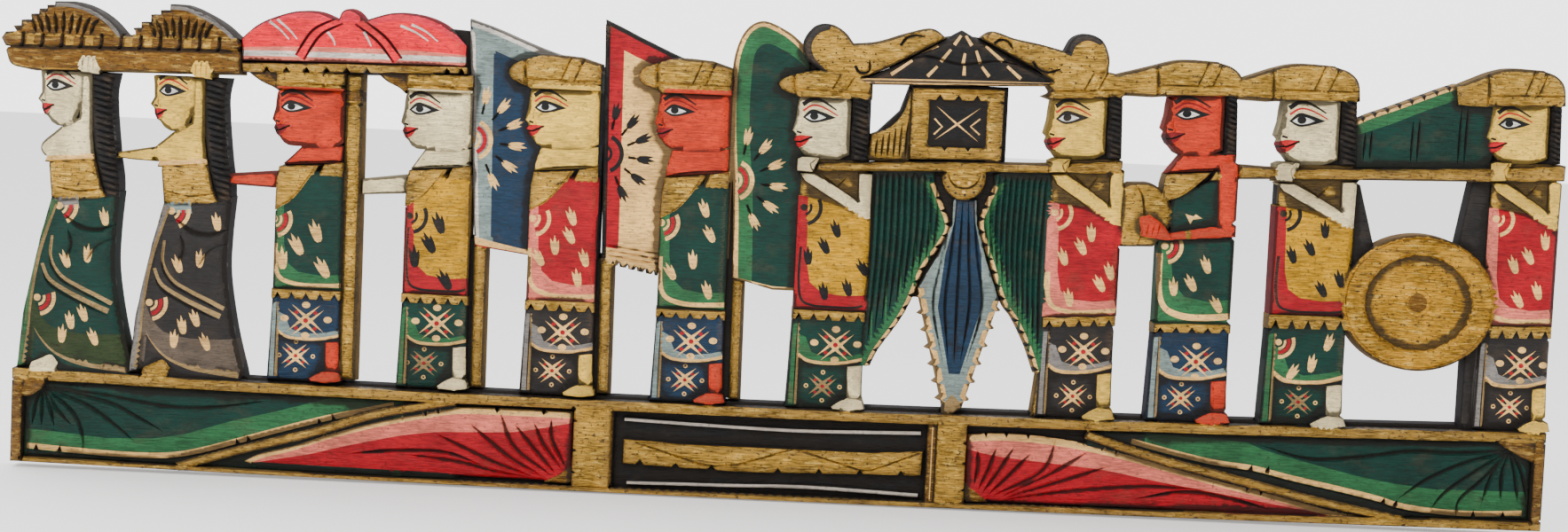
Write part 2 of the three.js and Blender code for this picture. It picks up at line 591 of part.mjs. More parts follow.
function palanquinCurtains() {
  const folds = (direction) =>
    [8, 17, 26, 35, 44].map((offset, i) => ({
      from: [PALANQUIN_MIDDLE + direction * (offset + 2), 211 - i * 2],
      to: [PALANQUIN_MIDDLE + direction * (offset + 12 - i), 136 - i * 6],
      width: 3.4,
      depth: 1.8,
    }));
  const leftHem = [
    [57, 86], [62, 97], [74, 115], [81, 128.5], [89, 150], [99, 166], [104, 178], [98, 194], [93, 205],
  ];
  const rightHem = [
    [161.5, 86], [155, 103], [146, 120], [138, 131], [129, 155], [121, 178], [123, 190], [129, 205],
  ];
  carve([[48, 84], ...leftHem, [93, 216], [48, 216]], LEVEL.curtain, { gouges: folds(-1) });
  carve([[166, 86], ...rightHem, [129, 216], [168, 216]], LEVEL.curtain, { gouges: folds(1) });
  carve([[160, 58], [170, 58], [170, 216], [163, 216], [163.5, 90]], LEVEL.lowerSkirt);
  const leftEdge = notchedEdge([104, 62], [84, 138], 7, 3.4, 0.3);
  const rightEdge = notchedEdge([137.5, 132], [117, 62], 6, 3.4, 0.3);
  const pendantFolds = [-9, -3, 3, 9].map((offset) => ({
    from: [PALANQUIN_MIDDLE + offset * 0.6, 192],
    to: [PALANQUIN_MIDDLE + offset * 0.8, 96],
    width: 3.2,
    depth: 1.6,
  }));
  const pendantTop = [[96, 160], [104, 180], [104, 196], [120, 196], [121, 180], [128, 158]];
  carve([...rightEdge, [103, 57], ...leftEdge, ...pendantTop], LEVEL.pendant, { gouges: pendantFolds });
  const medallion = arc([110.5, 210], [14.5, 15.5], 180, 360, 12);
  carve([...medallion, [125, 216], [96, 216]], LEVEL.scroll, { bevel: EDGE });
}

function poles() {
  const front = [
    [16, 209], [100, 212.3], [160, 214.2], [211, 216], [211, 225], [160, 221], [100, 219.5], [16, 214.7],
  ];
  const rear = [
    [284, 216], [330, 218], [440, 221.5], [491, 224], [491.5, 235], [440, 231], [330, 225.5], [284, 226],
  ];
  [front, rear].forEach((pole) => carve(pole, LEVEL.pole, { bevel: POLE_EDGE }));
}

function gongAndDrum() {
  const gong = { centre: [403, 143], radii: [49.5, 44], dish: [33, 29.5], boss: [6.4, 6.4] };
  carve(arc(gong.centre, gong.radii, 0, 344, 21), LEVEL.gong, {
    bevel: EDGE,
    hollows: [
      { outline: arc(gong.centre, gong.dish, 0, 337, 14), level: LEVEL.gongDish },
      { outline: arc(gong.centre, gong.boss, 0, 320, 8), level: LEVEL.gongBoss },
    ],
  });
  carve([[357, 217], [363, 217], [374, 178], [357, 160]], LEVEL.flag);
  carve([[433, 222], [446, 224], [446, 160], [426, 180]], LEVEL.flag);
  carve([[435, 60], [446, 60], [446, 124], [435, 112]], LEVEL.flag);
  const bannerTop = smooth(4, [356, 257], [380, 267], [400, 276], [420, 283.5]);
  carve([[356, 226], [356, 257], ...bannerTop, [446, 283], [446, 228]], LEVEL.banner);
  const drumHead = arc([226, 191], [18, 21], -60, 90, 7);
  carve([...drumHead, [216, 211.5], [210, 209], [210, 169.5], [233, 170.5]], LEVEL.cabin, { bevel: EDGE });
}

// The recessed ground left standing between neighbours, where the saw didn't go through

function grounds() {
  const behindUmbrella = [
    [-349, 258], [-322, 255], [-264, 257], [-204, 257], [-204, 288], [-240, 290], [-348, 280], [-353, 268],
  ];
  const behindPalanquin = [[80, 131], [139, 133], [131, 215], [90, 213]];
  const behindRoof = [[60, 268], [165, 272.5], [173, 290], [125, 298], [105, 300], [85, 297], [60, 278]];
  const besidePoles = [[-204, 158], [-124, 150], [-41, 200]].map(([x, top]) => [
    [x, 58], [x + 9, 58], [x + 9, top], [x, top],
  ]);
  const besideNecks = [
    [[-302, 192], [-283, 192], [-283, 204], [-302, 201]],
    [[-221, 193], [-202, 193], [-202, 204], [-221, 201]],
    [[258, 206], [278, 206], [278, 222], [258, 222]],
    [[-2, 262], [44, 266], [44, 284], [8, 284]],
    [[352, 212], [363, 212], [363, 223], [352, 223]],
    [[440, 222], [455, 222], [455, 246], [440, 246]],
    [[70, 214], [86, 214], [86, 226], [70, 226]],
  ];
  const all = [behindUmbrella, behindPalanquin, behindRoof, ...besidePoles, ...besideNecks];
  all.forEach((outline) => carve(outline, LEVEL.ledge));
}

base();
baseMiddlePanel();
grounds();
[0, WOMAN_STEP].forEach(woman);
offerings();
umbrella();
flags();
palanquinRoof();
palanquinCabin();
palanquinCurtains();
poles();
gongAndDrum();
men.forEach(standingMan);
bearers.forEach(bearer);
arms();

// One plank: every level joined, planed flat at the back, and moved so that the mount is at the origin

const room = new THREE.BoxGeometry(4 * HALF_LENGTH, 4 * PLANK_THICKNESS, 4 * HALF_LENGTH);
room.translate(0, -2 * PLANK_THICKNESS, 0);
const joined = carved.reduce((whole, piece) => whole.add(piece));
const panel = joined.intersect(solidFrom(room));

const { vertProperties, triVerts } = panel.getMesh();
const geometry = new THREE.BufferGeometry();
geometry.setAttribute('position', new THREE.BufferAttribute(Float32Array.from(vertProperties), 3));
geometry.setIndex(new THREE.BufferAttribute(Uint32Array.from(triVerts), 1));
geometry.computeVertexNormals();

const gildedWood = new THREE.MeshStandardMaterial({ color: 0xa8842f, roughness: 0.5, metalness: 0.2 });
const carvedPanel = new THREE.Mesh(geometry, gildedWood);
carvedPanel.name = 'carved_panel';

const group = new THREE.Group();
group.position.z = -ORIGIN_HEIGHT;
group.add(carvedPanel);

export default group;
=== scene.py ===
"""Looks of the carved wall panel: a pierced, gilded and painted procession relief on a framed base."""

import math

import bpy
import numpy as np
from mathutils import Matrix, Vector
from mathutils.geometry import delaunay_2d_cdt


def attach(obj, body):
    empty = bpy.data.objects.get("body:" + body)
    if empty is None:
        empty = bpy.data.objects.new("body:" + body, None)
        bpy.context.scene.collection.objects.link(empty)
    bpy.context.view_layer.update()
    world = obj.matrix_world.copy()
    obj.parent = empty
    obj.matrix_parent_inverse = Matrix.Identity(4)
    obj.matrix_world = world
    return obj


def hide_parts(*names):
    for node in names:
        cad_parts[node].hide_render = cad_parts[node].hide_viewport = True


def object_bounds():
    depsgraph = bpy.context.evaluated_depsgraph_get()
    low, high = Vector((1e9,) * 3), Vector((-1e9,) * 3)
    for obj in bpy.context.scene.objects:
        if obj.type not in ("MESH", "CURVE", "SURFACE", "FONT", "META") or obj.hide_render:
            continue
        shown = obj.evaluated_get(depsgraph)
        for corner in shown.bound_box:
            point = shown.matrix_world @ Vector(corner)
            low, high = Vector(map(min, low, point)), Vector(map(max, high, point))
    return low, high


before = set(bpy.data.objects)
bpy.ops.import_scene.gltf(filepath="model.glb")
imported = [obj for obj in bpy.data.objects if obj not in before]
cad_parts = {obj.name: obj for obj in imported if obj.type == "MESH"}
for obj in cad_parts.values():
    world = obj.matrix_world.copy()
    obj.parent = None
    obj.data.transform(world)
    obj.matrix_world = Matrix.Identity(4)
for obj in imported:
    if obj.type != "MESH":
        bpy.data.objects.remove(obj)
CAD_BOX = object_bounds()

bl_info = {
    "name": "Carved wall panel",
    "version": (1, 0, 0),
    "blender": (4, 5, 0),
    "location": "View3D > Sidebar > Wall Panel",
    "description": "Builds the relief, its paint and the studio stage of the carved wall panel",
    "category": "Object",
}

# Shapes are drawn on the face of the plank in millimetres: x from the middle of the base, z from its lower
# edge. Heights are millimetres forward of the flat back.

MM = 0.001
ORIGIN_HEIGHT = 28.0
HALF_LENGTH = 490.0
CELL = 0.22
CHUNK = 4000

# Floors that keep a division or a direction well behaved
SHORTEST = 1e-6
SMALL = 1e-9
TINY = 1e-12
SMALLEST_SHARE = 1e-3


def curve(*points, step=2.2):
    """A smooth line through the points, sampled evenly."""
    pts = np.array(points, float)
    ends = np.vstack([2 * pts[0] - pts[1], pts, 2 * pts[-1] - pts[-2]])
    out = []
    for a, b, c, d in zip(ends, ends[1:], ends[2:], ends[3:]):
        count = max(2, int(np.hypot(*(c - b)) / step) + 1)
        t = np.arange(count)[:, None] / count
        out.append(0.5 * (2 * b + (c - a) * t + (2 * a - 5 * b + 4 * c - d) * t**2 + (3 * b - a - 3 * c + d)
            * t**3))
    out.append(pts[-1:])
    return [tuple(p) for p in np.vstack(out)]


def arc(centre, radii, start, end, step=2.2):
    """Part of an ellipse, angles in degrees."""
    length = math.radians(abs(end - start)) * max(radii)
    count = max(6, int(length / step))
    angles = np.radians(np.linspace(start, end, count + 1))
    return [(centre[0] + radii[0] * math.cos(a), centre[1] + radii[1] * math.sin(a)) for a in angles]


def box(x0, z0, x1, z1):
    return [(x0, z0), (x1, z0), (x1, z1), (x0, z1)]


def ring(centre, outer, inner, start, end):
    """A band along an arc."""
    return arc(centre, (outer, outer), start, end, 1.6) + arc(centre, (inner, inner), end, start, 1.6)


def ribbon(points, start, end=None):
    """A band along a line, of even or tapering width."""
    pts = np.array(points, float)
    ahead = np.vstack([pts[1:], pts[-1:]]) - np.vstack([pts[:1], pts[:-1]])
    ahead /= np.maximum(np.hypot(ahead[:, 0], ahead[:, 1]), SHORTEST)[:, None]
    half = np.linspace(start, start if end is None else end, len(pts))[:, None] / 2
    side = np.stack([-ahead[:, 1], ahead[:, 0]], 1) * half
    return [tuple(p) for p in np.vstack([pts - side, (pts + side)[::-1]])]


def notched(a, b, count, depth, share=0.42):
    """The edge from a to b with pointed notches cut to its left."""
    a, b = np.array(a, float), np.array(b, float)
    along = b - a
    normal = np.array([-along[1], along[0]]) / np.hypot(*along)
    points = [a]
    for i in range(count):
        middle = (i + 0.5) / count
        half = share / (2 * count)
        points += [a + along * (middle - half), a + along * middle + normal * depth,
            a + along * (middle + half)]
    return [tuple(p) for p in points + [b]]


def band(lower, upper, x0, x1, step=6.0):
    """The area between two lines given as functions of x."""
    xs = np.linspace(x0, x1, max(2, int((x1 - x0) / step) + 1))
    return [(x, lower(x)) for x in xs] + [(x, upper(x)) for x in xs[::-1]]


# A petal: the lean and the length of its three strokes, half a stroke's width along it, and how far the foot
# is from the centre
PETAL_STROKES = ((-15, 0.78), (0, 1.0), (15, 0.88))
STROKE_WIDTHS = ((0, 1.0), (2.5, 1.9), (8, 1.5), (11.5, 0.8), (14.5, 0))
PETAL_FOOT = 6.3


def heading(degrees):
    angle = math.radians(degrees)
    return np.array([math.cos(angle), math.sin(angle)])


def petal(centre, size=1.0, turn=0.0):
    """Three brush strokes fanned out from one foot."""
    foot = np.array(centre, float) - PETAL_FOOT * size * heading(90 + turn)
    sides = [*STROKE_WIDTHS, *((along, -across) for along, across in STROKE_WIDTHS[-2::-1])]
    strokes = []
    for lean, length in PETAL_STROKES:
        ray = heading(90 + turn + lean) * size
        side = np.array([-ray[1], ray[0]])
        strokes.append([tuple(foot + ray * along * length + side * across) for along, across in sides])
    return strokes


def dot(centre, radius):
    return arc(centre, (radius, radius), 0, 330, 1.2)


def signed_distance(points, outline):
    """Distance to the outline, positive inside."""
    result = np.empty(len(points))
    a = outline
    b = np.roll(outline, -1, axis=0)
    ba = b - a
    square = np.maximum((ba**2).sum(1), TINY)
    for start in range(0, len(points), CHUNK):
        p = points[start:start + CHUNK, None, :]
        pa = p - a
        t = np.clip((pa * ba).sum(2) / square, 0, 1)
        gap = pa - t[..., None] * ba
        near = np.sqrt((gap**2).sum(2).min(1))
        crosses = (a[:, 1] > p[..., 1]) != (b[:, 1] > p[..., 1])
        with np.errstate(divide="ignore", invalid="ignore"):
            reach = ba[:, 0] * (p[..., 1] - a[:, 1]) / np.where(ba[:, 1] == 0, TINY, ba[:, 1]) + a[:, 0]
        inside = (crosses & (p[..., 0] < reach)).sum(1) % 2 == 1
        result[start:start + CHUNK] = np.where(inside, near, -near)
    return result


SAME_PLACE = 0.05


def split_edges(outline, step):
    """The outline with its long edges divided, counterclockwise."""
    pts = np.array(outline, float)
    pts = pts[np.hypot(*(pts - np.roll(pts, 1, axis=0)).T) > SAME_PLACE]
    x, z = pts.T
    if (x * np.roll(z, -1) - z * np.roll(x, -1)).sum() < 0:
        pts = pts[::-1]
    out = []
    for a, b in zip(pts, np.roll(pts, -1, axis=0)):
        count = max(1, round(float(np.hypot(*(b - a))) / step))
        out.append(a + (b - a) * np.arange(count)[:, None] / count)
    return np.vstack(out)


SHARPEST = 0.6


def inward(outline):
    """The inward direction at each corner, longer where the corner is sharp."""
    ahead = np.roll(outline, -1, axis=0) - outline
    ahead /= np.maximum(np.hypot(ahead[:, 0], ahead[:, 1]), SMALL)[:, None]
    normal = np.stack([-ahead[:, 1], ahead[:, 0]], 1)
    both = normal + np.roll(normal, 1, axis=0)
    length = np.maximum((both**2).sum(1), SHARPEST)
    return both * 2 / length[:, None]


# Which ends of a cut taper to a point
BOTH_ENDS = (True, True)
FIRST_END = (True, False)
LAST_END = (False, True)
NO_END = (False, False)

TAPER_SHARE = 0.3
TAPER_POWER = 0.7
THINNEST = 0.06

# Target marks: the inner and outer radius of the dot and its three bands, and their paints
RINGS = ((0.0, 2.3), (3.7, 5.4), (6.2, 8.6), (9.4, 11.9))
CREAM_RINGS = ("cream", "cream", "red", "cream")
OCHRE_RINGS = ("black", "black", "ochre", "black")
BLACK_RINGS = ("black", "black", "red", "black")
PETAL_SWING = 14


class Form:
    """One raised form: an outline, the height of its top and how far its edge is rounded over."""

    def __init__(self, relief, outline, level, ground, rounding, drop):
        self.relief = relief
        self.index = len(relief.forms)
        self.outline = split_edges(outline, relief.step)
        self.level = level
        self.ground = ground
        self.rounding = rounding
        self.drop = drop
        self.patches = []
        self.low = self.outline.min(0)
        self.high = self.outline.max(0)

    def height(self, distance):
        wall = self.relief.wall
        side = np.clip(distance / wall, 0, 1) * (self.level - self.drop)
        over = np.clip((distance - wall) / self.rounding, 0, 1)
        return side + self.drop * (1 - (1 - over) ** 2)

    def paint(self, outline, paint):
        self.patches.append((split_edges(outline, self.relief.step), paint))

    def petals(self, centres, paint, size=1.0, turn=0.0):
        for i, centre in enumerate(centres):
            for stroke in petal(centre, size, turn + PETAL_SWING * math.sin(i * 2.4)):
                self.paint(stroke, paint)

    def rings(self, centre, paints, start=-75, end=30, size=1.0):
        for (inner, outer), paint in zip(RINGS, paints):
            shape = dot(centre, outer * size) if inner == 0 else ring(centre, outer * size, inner * size,
                start, end)
            self.paint(shape, paint)

    def cut(self, line, width, depth, pointed=BOTH_ENDS):
        """A gouge along a line, thinner towards each pointed end."""
        pts = np.array(line, float)
        dense = [pts[0]]
        for a, b in zip(pts, pts[1:]):
            count = max(1, round(float(np.hypot(*(b - a))) / self.relief.step))
            dense += [a + (b - a) * i / count for i in range(1, count + 1)]
        dense = np.array(dense)
        along = np.linspace(0, 1, len(dense))
        thin = np.ones(len(dense))
        if pointed[0]:
            thin = np.minimum(thin, np.clip(along / TAPER_SHARE, 0, 1) ** TAPER_POWER)
        if pointed[1]:
            thin = np.minimum(thin, np.clip((1 - along) / TAPER_SHARE, 0, 1) ** TAPER_POWER)
        half = np.maximum(thin, THINNEST) * width / 2
        self.relief.cuts.append({"form": self, "line": dense, "half": half, "depth": depth})


class Relief:
    """The carved face: forms, cuts made into them and the paint on them."""

    def __init__(self, wall, step):
        self.wall = wall
        self.step = step
        self.forms = []
        self.cuts = []

    def settle(self):
        """Notes the forms' boxes and their order from the highest down."""
        self.lows = np.array([form.low for form in self.forms])
        self.highs = np.array([form.high for form in self.forms])
        self.order = sorted(self.forms, key=lambda form: -form.level)

    def form(self, outline, level, paint, rounding=1.5, drop=0.9):
        self.forms.append(Form(self, outline, level, paint, rounding, drop))
        return self.forms[-1]

    def surface(self, points):
        """Height of the uncut surface and the form it belongs to at each point."""
        top = np.zeros(len(points))
        owner = np.full(len(points), -1)
        reached = np.all((self.lows <= points.max(0)) & (self.highs >= points.min(0)), axis=1)
        for form in self.order:
            if not reached[form.index]:
                continue
            boxed = np.all((points >= form.low) & (points <= form.high), axis=1)
            near = ((top < form.level) & boxed).nonzero()[0]
            if len(near) == 0:
                continue
            height = form.height(signed_distance(points[near], form.outline))
            better = height > top[near]
            top[near[better]] = height[better]
            owner[near[better]] = form.index
        return top, owner

    def cut_depth(self, points, owner):
        """How deep the cuts go at each point."""
        depth = np.zeros(len(points))
        for cut in self.cuts:
            line, half = cut["line"], cut["half"]
            reach = half.max()
            boxed = np.all((points >= line.min(0) - reach) & (points <= line.max(0) + reach), axis=1)
            near = ((owner == cut["form"].index) & boxed).nonzero()[0]
            if len(near) == 0:
                continue
            a, b = line[:-1], line[1:]
            ba = b - a
            pa = points[near, None, :] - a
            t = np.clip((pa * ba).sum(2) / np.maximum((ba**2).sum(1), TINY), 0, 1)
            far = np.hypot(*np.moveaxis(pa - t[..., None] * ba, 2, 0))
            best = far.argmin(1)
            rows = np.arange(len(near))
            local = half[best] + (half[best + 1] - half[best]) * t[rows, best]
            share = np.clip(1 - far[rows, best] / local, 0, 1)
            depth[near] = np.maximum(depth[near], cut["depth"] * share * np.clip(local / half.max() + 0.15,
                0, 1))
        return depth


# How far the surface's own points stand from an outline, as shares of the rounding, and how near is too near
HALFWAY_OVER = 0.45
MOSTLY_OVER = 0.7
WIDE_ROUNDING = 3.5
CREST_SHARE = 0.8
ROW_SHARE = 0.82
COVER_MARGIN = 0.15


class Lines:
    """Points and edges that the surface has to follow."""

    def __init__(self):
        self.points = []
        self.edges = []
        self.count = 0

    def add(self, points, wanted, closed=True):
        """Adds a line and those of its edges that are wanted, each given by its first point."""
        size = len(points)
        self.points.append(points)
        self.edges += [(self.count + i, self.count + (i + 1) % size) for i in np.nonzero(wanted)[0]
                       if closed or i < size - 1]
        self.count += size


def across(line):
    """The direction square to a line at each of its points."""
    ahead = np.gradient(line, axis=0)
    ahead /= np.maximum(np.hypot(ahead[:, 0], ahead[:, 1]), SMALL)[:, None]
    return np.stack([-ahead[:, 1], ahead[:, 0]], 1)


def gather_lines(relief):
    """The lines of outlines, edges of paint and cuts that no higher form hides, and loose points."""
    lines = Lines()
    loose = []
    for form in relief.forms:
        outline = form.outline
        top, _ = relief.surface(outline)
        shown = top < form.level - form.drop - COVER_MARGIN
        lines.add(outline, shown | np.roll(shown, -1))
        direction = inward(outline)
        crest = outline + direction * relief.wall
        good = signed_distance(crest, outline) > relief.wall * CREST_SHARE
        good &= relief.surface(crest)[1] == form.index
        lines.add(crest, good & np.roll(good, -1))
        shares = (HALFWAY_OVER, MOSTLY_OVER, 1) if form.rounding > WIDE_ROUNDING else (HALFWAY_OVER, 1)
        for share in shares:
            depth = relief.wall + form.rounding * share
            row = outline + direction * depth
            near = signed_distance(row, outline)
            loose.append(row[(near > depth * ROW_SHARE) & (relief.surface(row)[1] == form.index)])
        for patch, _ in form.patches:
            mine = relief.surface(patch)[1] == form.index
            lines.add(patch, mine | np.roll(mine, -1))
    for cut in relief.cuts:
        line = cut["line"]
        side = across(line) * cut["half"][:, None]
        for row in (line, line + side, line - side):
            mine = relief.surface(row)[1] == cut["form"].index
            lines.add(row, mine | np.roll(mine, -1), closed=False)
    return np.vstack(lines.points), lines.edges, np.vstack(loose)


def thin_out(points, taken, cell):
    """The points that aren't within about a cell of one already taken."""
    out = []
    for p in points:
        key = (math.floor(p[0] / cell), math.floor(p[1] / cell))
        if any((key[0] + i, key[1] + j) in taken for i in (-1, 0, 1) for j in (-1, 0, 1)):
            continue
        taken.add(key)
        out.append(p)
    return out


def cells(points, cell):
    return {(math.floor(x / cell), math.floor(z / cell)) for x, z in points}


ROW_GAP = 0.87
CLEARANCE = 0.42
MERGE_DISTANCE = 1e-3


def triangulate(relief, spacing):
    """Triangles over the plank's face that follow every outline, cut and edge of paint."""
    lines, edges, loose = gather_lines(relief)
    used = sorted({i for edge in edges for i in edge})
    renumber = {old: new for new, old in enumerate(used)}
    fixed = lines[used]
    edges = [(renumber[a], renumber[b]) for a, b in edges]
    extra = np.array(thin_out(loose, cells(fixed, CELL), CELL))
    low = fixed.min(0)
    high = fixed.max(0)
    rows = np.arange(low[1], high[1], spacing * ROW_GAP)
    grid = np.array([(x + (spacing / 2 if i % 2 else 0), z)
                     for i, z in enumerate(rows) for x in np.arange(low[0], high[0], spacing)])
    _, owner = relief.surface(grid)
    coarse = spacing * CLEARANCE
    inner = thin_out(grid[owner >= 0], cells(np.vstack([fixed, extra]), coarse), coarse)
    everything = [Vector(p) for p in np.vstack([fixed, extra, np.array(inner)])]
    verts, _, faces, _, _, _ = delaunay_2d_cdt(everything, edges, [], 0, MERGE_DISTANCE)
    return np.array([tuple(v) for v in verts]), np.array(faces)


# The picture of heights that tells ridges from hollows: its pixel, lower corner, rows and columns
MAP_PIXEL = 1.25
MAP_CORNER = np.array([-505.0, -5.0])
MAP_SHAPE = (252, 800)
BLUR_REACH = 2


def blurred(image, reach=BLUR_REACH):
    for axis in (0, 1):
        for _ in range(3):
            total = np.zeros_like(image)
            for shift in range(-reach, reach + 1):
                total += np.roll(image, shift, axis=axis)
            image = total / (2 * reach + 1)
    return image


def hollow_map(relief, points):
    """How far each point stands out of its surroundings, positive on ridges and negative in hollows."""
    rows, columns = MAP_SHAPE
    xs = MAP_CORNER[0] + np.arange(columns) * MAP_PIXEL
    zs = MAP_CORNER[1] + np.arange(rows) * MAP_PIXEL
    grid = np.stack(np.meshgrid(xs, zs), 2).reshape(-1, 2)
    height, owner = relief.surface(grid)
    height = (height - relief.cut_depth(grid, owner)).reshape(MAP_SHAPE)
    solid = (owner >= 0).reshape(MAP_SHAPE).astype(float)
    relative = height - blurred(height * solid) / np.maximum(blurred(solid), SMALLEST_SHARE)
    where = np.clip((points - MAP_CORNER) / MAP_PIXEL, 0, [columns - 1.001, rows - 1.001])
    i = where.astype(int)
    f = where - i

    def row(z):
        left = relative[i[:, 1] + z, i[:, 0]]
        right = relative[i[:, 1] + z, i[:, 0] + 1]
        return left * (1 - f[:, 0]) + right * f[:, 0]

    return row(0) * (1 - f[:, 1]) + row(1) * f[:, 1]


# The base

def bowed(left, middle, right):
    """A line along the base, given by its height at the left end, the middle and the right end."""
    return lambda x: (middle + (right - left) / 2 * (x / HALF_LENGTH)
                      + ((left + right) / 2 - middle) * (x / HALF_LENGTH) ** 2)


BOTTOM = bowed(0, -3, 0)
LOWER_RAIL = bowed(4, 1, 7)
RAIL_FOOT = bowed(53, 50, 57)
RAIL_TOP = bowed(61, 57.5, 64.5)
LEDGE_TOP = bowed(63, 60, 68)


def between(line, x0, x1, raise_by=0, step=8):
    xs = np.linspace(x0, x1, max(2, int(abs(x1 - x0) / step) + 1))
    return [(x, line(x) + raise_by) for x in xs]


def black_nicks(form, places, size=3.4):
    """Small triangular notches, each with its place and the way it points."""
    for x, z, turn in places:
        place = np.array([x, z])
        ray = heading(turn)
        side = np.array([-ray[1], ray[0]]) * size * 0.45
        tip = place + size * ray
        form.paint([place + side, place - side, tip], "seam")
        form.cut([place - 0.5 * ray, tip], size * 0.9, 2.2, LAST_END)


def draw_base(relief):
    half = HALF_LENGTH
    relief.form(band(lambda x: BOTTOM(x) + 0.8, lambda x: RAIL_TOP(x) - 0.8, -half + 0.8, half - 0.8), 11,
        "seam")
    relief.form(band(lambda x: RAIL_FOOT(x) - 1, LEDGE_TOP, -half, half), 10, "charcoal")
    relief.form(band(BOTTOM, LOWER_RAIL, -half, half), 19.5, "gold", 1.6, 1.3)
    relief.form(band(RAIL_FOOT, RAIL_TOP, -half, half), 19.5, "gold", 2.4, 1.5)
    relief.form([(-half, 0.2), (-half + 8, 0.2), (-half + 8, 59), (-half, 60)], 19.3, "old_gold", 2.2, 1.3)
    relief.form([(half - 8, 0.2), (half, 0.2), (half, 64), (half - 8, 63)], 19.3, "old_gold", 2.2, 1.3)
    draw_fans(relief, LEFT_FANS)
    draw_fans(relief, RIGHT_FANS)
    draw_middle_panel(relief)


# Each end of the base holds a green fan and a red one, parted by a sloping rail. A pleat is a width and a
# line, a nick is a place and the way it points.

LEFT_FANS = dict(
    ends=(-483, -205),
    light=[*between(LOWER_RAIL, -483, -240, -1), (-240, 52), (-262, 50.5), (-285, 50.5), (-300, 46),
        (-320, 40), (-350, 32), (-380, 22), (-400, 18.5), (-430, 17.5), (-460, 20), (-483, 21.5)],
    hem=((-480, 10.5), (-455, 9), (-420, 7.5), (-390, 8.2), (-370, 12), (-350, 18), (-320, 27.5),
        (-290, 36.5), (-262, 43.5), (-246, 47.5)),
    under=between(LOWER_RAIL, -246, -480, -1),
    hem_width=3.6,
    green_nicks=[(-474, 8.5, 90), (-459, 8, 90), (-345, 18, 110), (-338, 20, 110), (-293, 33.5, 110),
        (-284, 36, 110)],
    corner=(-471, 49),
    green_pleats=(
        (3, (-475, 38), (-477, 24)), (3, (-471, 36), (-471, 24)), (3.2, (-466, 36), (-463, 24)),
        (3.4, (-461, 34), (-452, 25)), (3.2, (-452, 34), (-445, 20), (-444, 7)),
        (3.6, (-442, 38), (-424, 26), (-411, 16)), (3.6, (-430, 41), (-410, 32), (-394, 24)),
        (3.8, (-430, 45), (-395, 40), (-365, 40), (-328, 46)),
    ),
    green_depth=1.7,
    red=[(-343, 5), *curve((-343, 7), (-330, 14), (-310, 19.5), (-290, 27), (-270, 33.5), (-250, 39),
        (-230, 43.5), (-210, 47.8), (-190, 49), (-131, 49)), (-130, 2.2)],
    pink=[*curve((-343, 4), (-320, 9), (-300, 13), (-280, 18.5), (-260, 23.5), (-240, 28), (-220, 31),
        (-200, 32), (-170, 33.5), (-150, 37), (-130, 41.5)), (-130, 50), (-190, 50), (-250, 41), (-310, 21),
        (-345, 7)],
    top=((-341, 5.5), (-330, 11.5), (-310, 17.5), (-290, 25), (-270, 31.3), (-250, 36.8), (-230, 41.2),
        (-210, 45.3), (-190, 46.5), (-131, 46.5)),
    top_width=5,
    red_nicks=[(-290, 28, -70), (-283, 30.5, -70), (-226, 44, -75), (-218, 46, -75), (-180, 48.5, -90),
        (-150, 48.5, -90)],
    red_pleats=(
        (4, (-135, 13), (-144, 30), (-145, 43)), (4, (-138, 12), (-149, 26), (-156, 40)),
        (4.2, (-142, 9), (-154, 22), (-168, 38)), (4.4, (-145, 7.5), (-168, 24), (-178, 46)),
        (4.4, (-150, 6), (-172, 18), (-197, 37.5)), (4.4, (-156, 5.5), (-182, 14), (-218, 30)),
        (4, (-158, 5), (-178, 7), (-203, 12.5), (-234, 15.8)), (3.4, (-190, 12), (-213, 18.5), (-245, 18),
            (-272, 15)),
    ),
    gusset=[(-151, 2), (-139, 8), (-132, 13.5), (-129, 13.5), (-129, 1)],
    rail=((-384, 1), (-345, 13.5), (-300, 26.5), (-262, 39.5), (-240, 45), (-206, 52)),
    rail_end=[(-206, 46), (-206, 56), (-200, 56), (-200, 46)],
    spandrel=[(-484, 56), (-484, 41), (-477, 42.5), (-470, 47.5), (-466, 56)],
    block=box(-131, 0, -106, 53),
    block_nicks=[(-131.5, 43, 0), (-131.5, 24, 0), (-131.5, 10, 0)],
    strips=[(box(-108, 1, -104.5, 51), 16.5, "old_gold", 1, 0.8)],
)

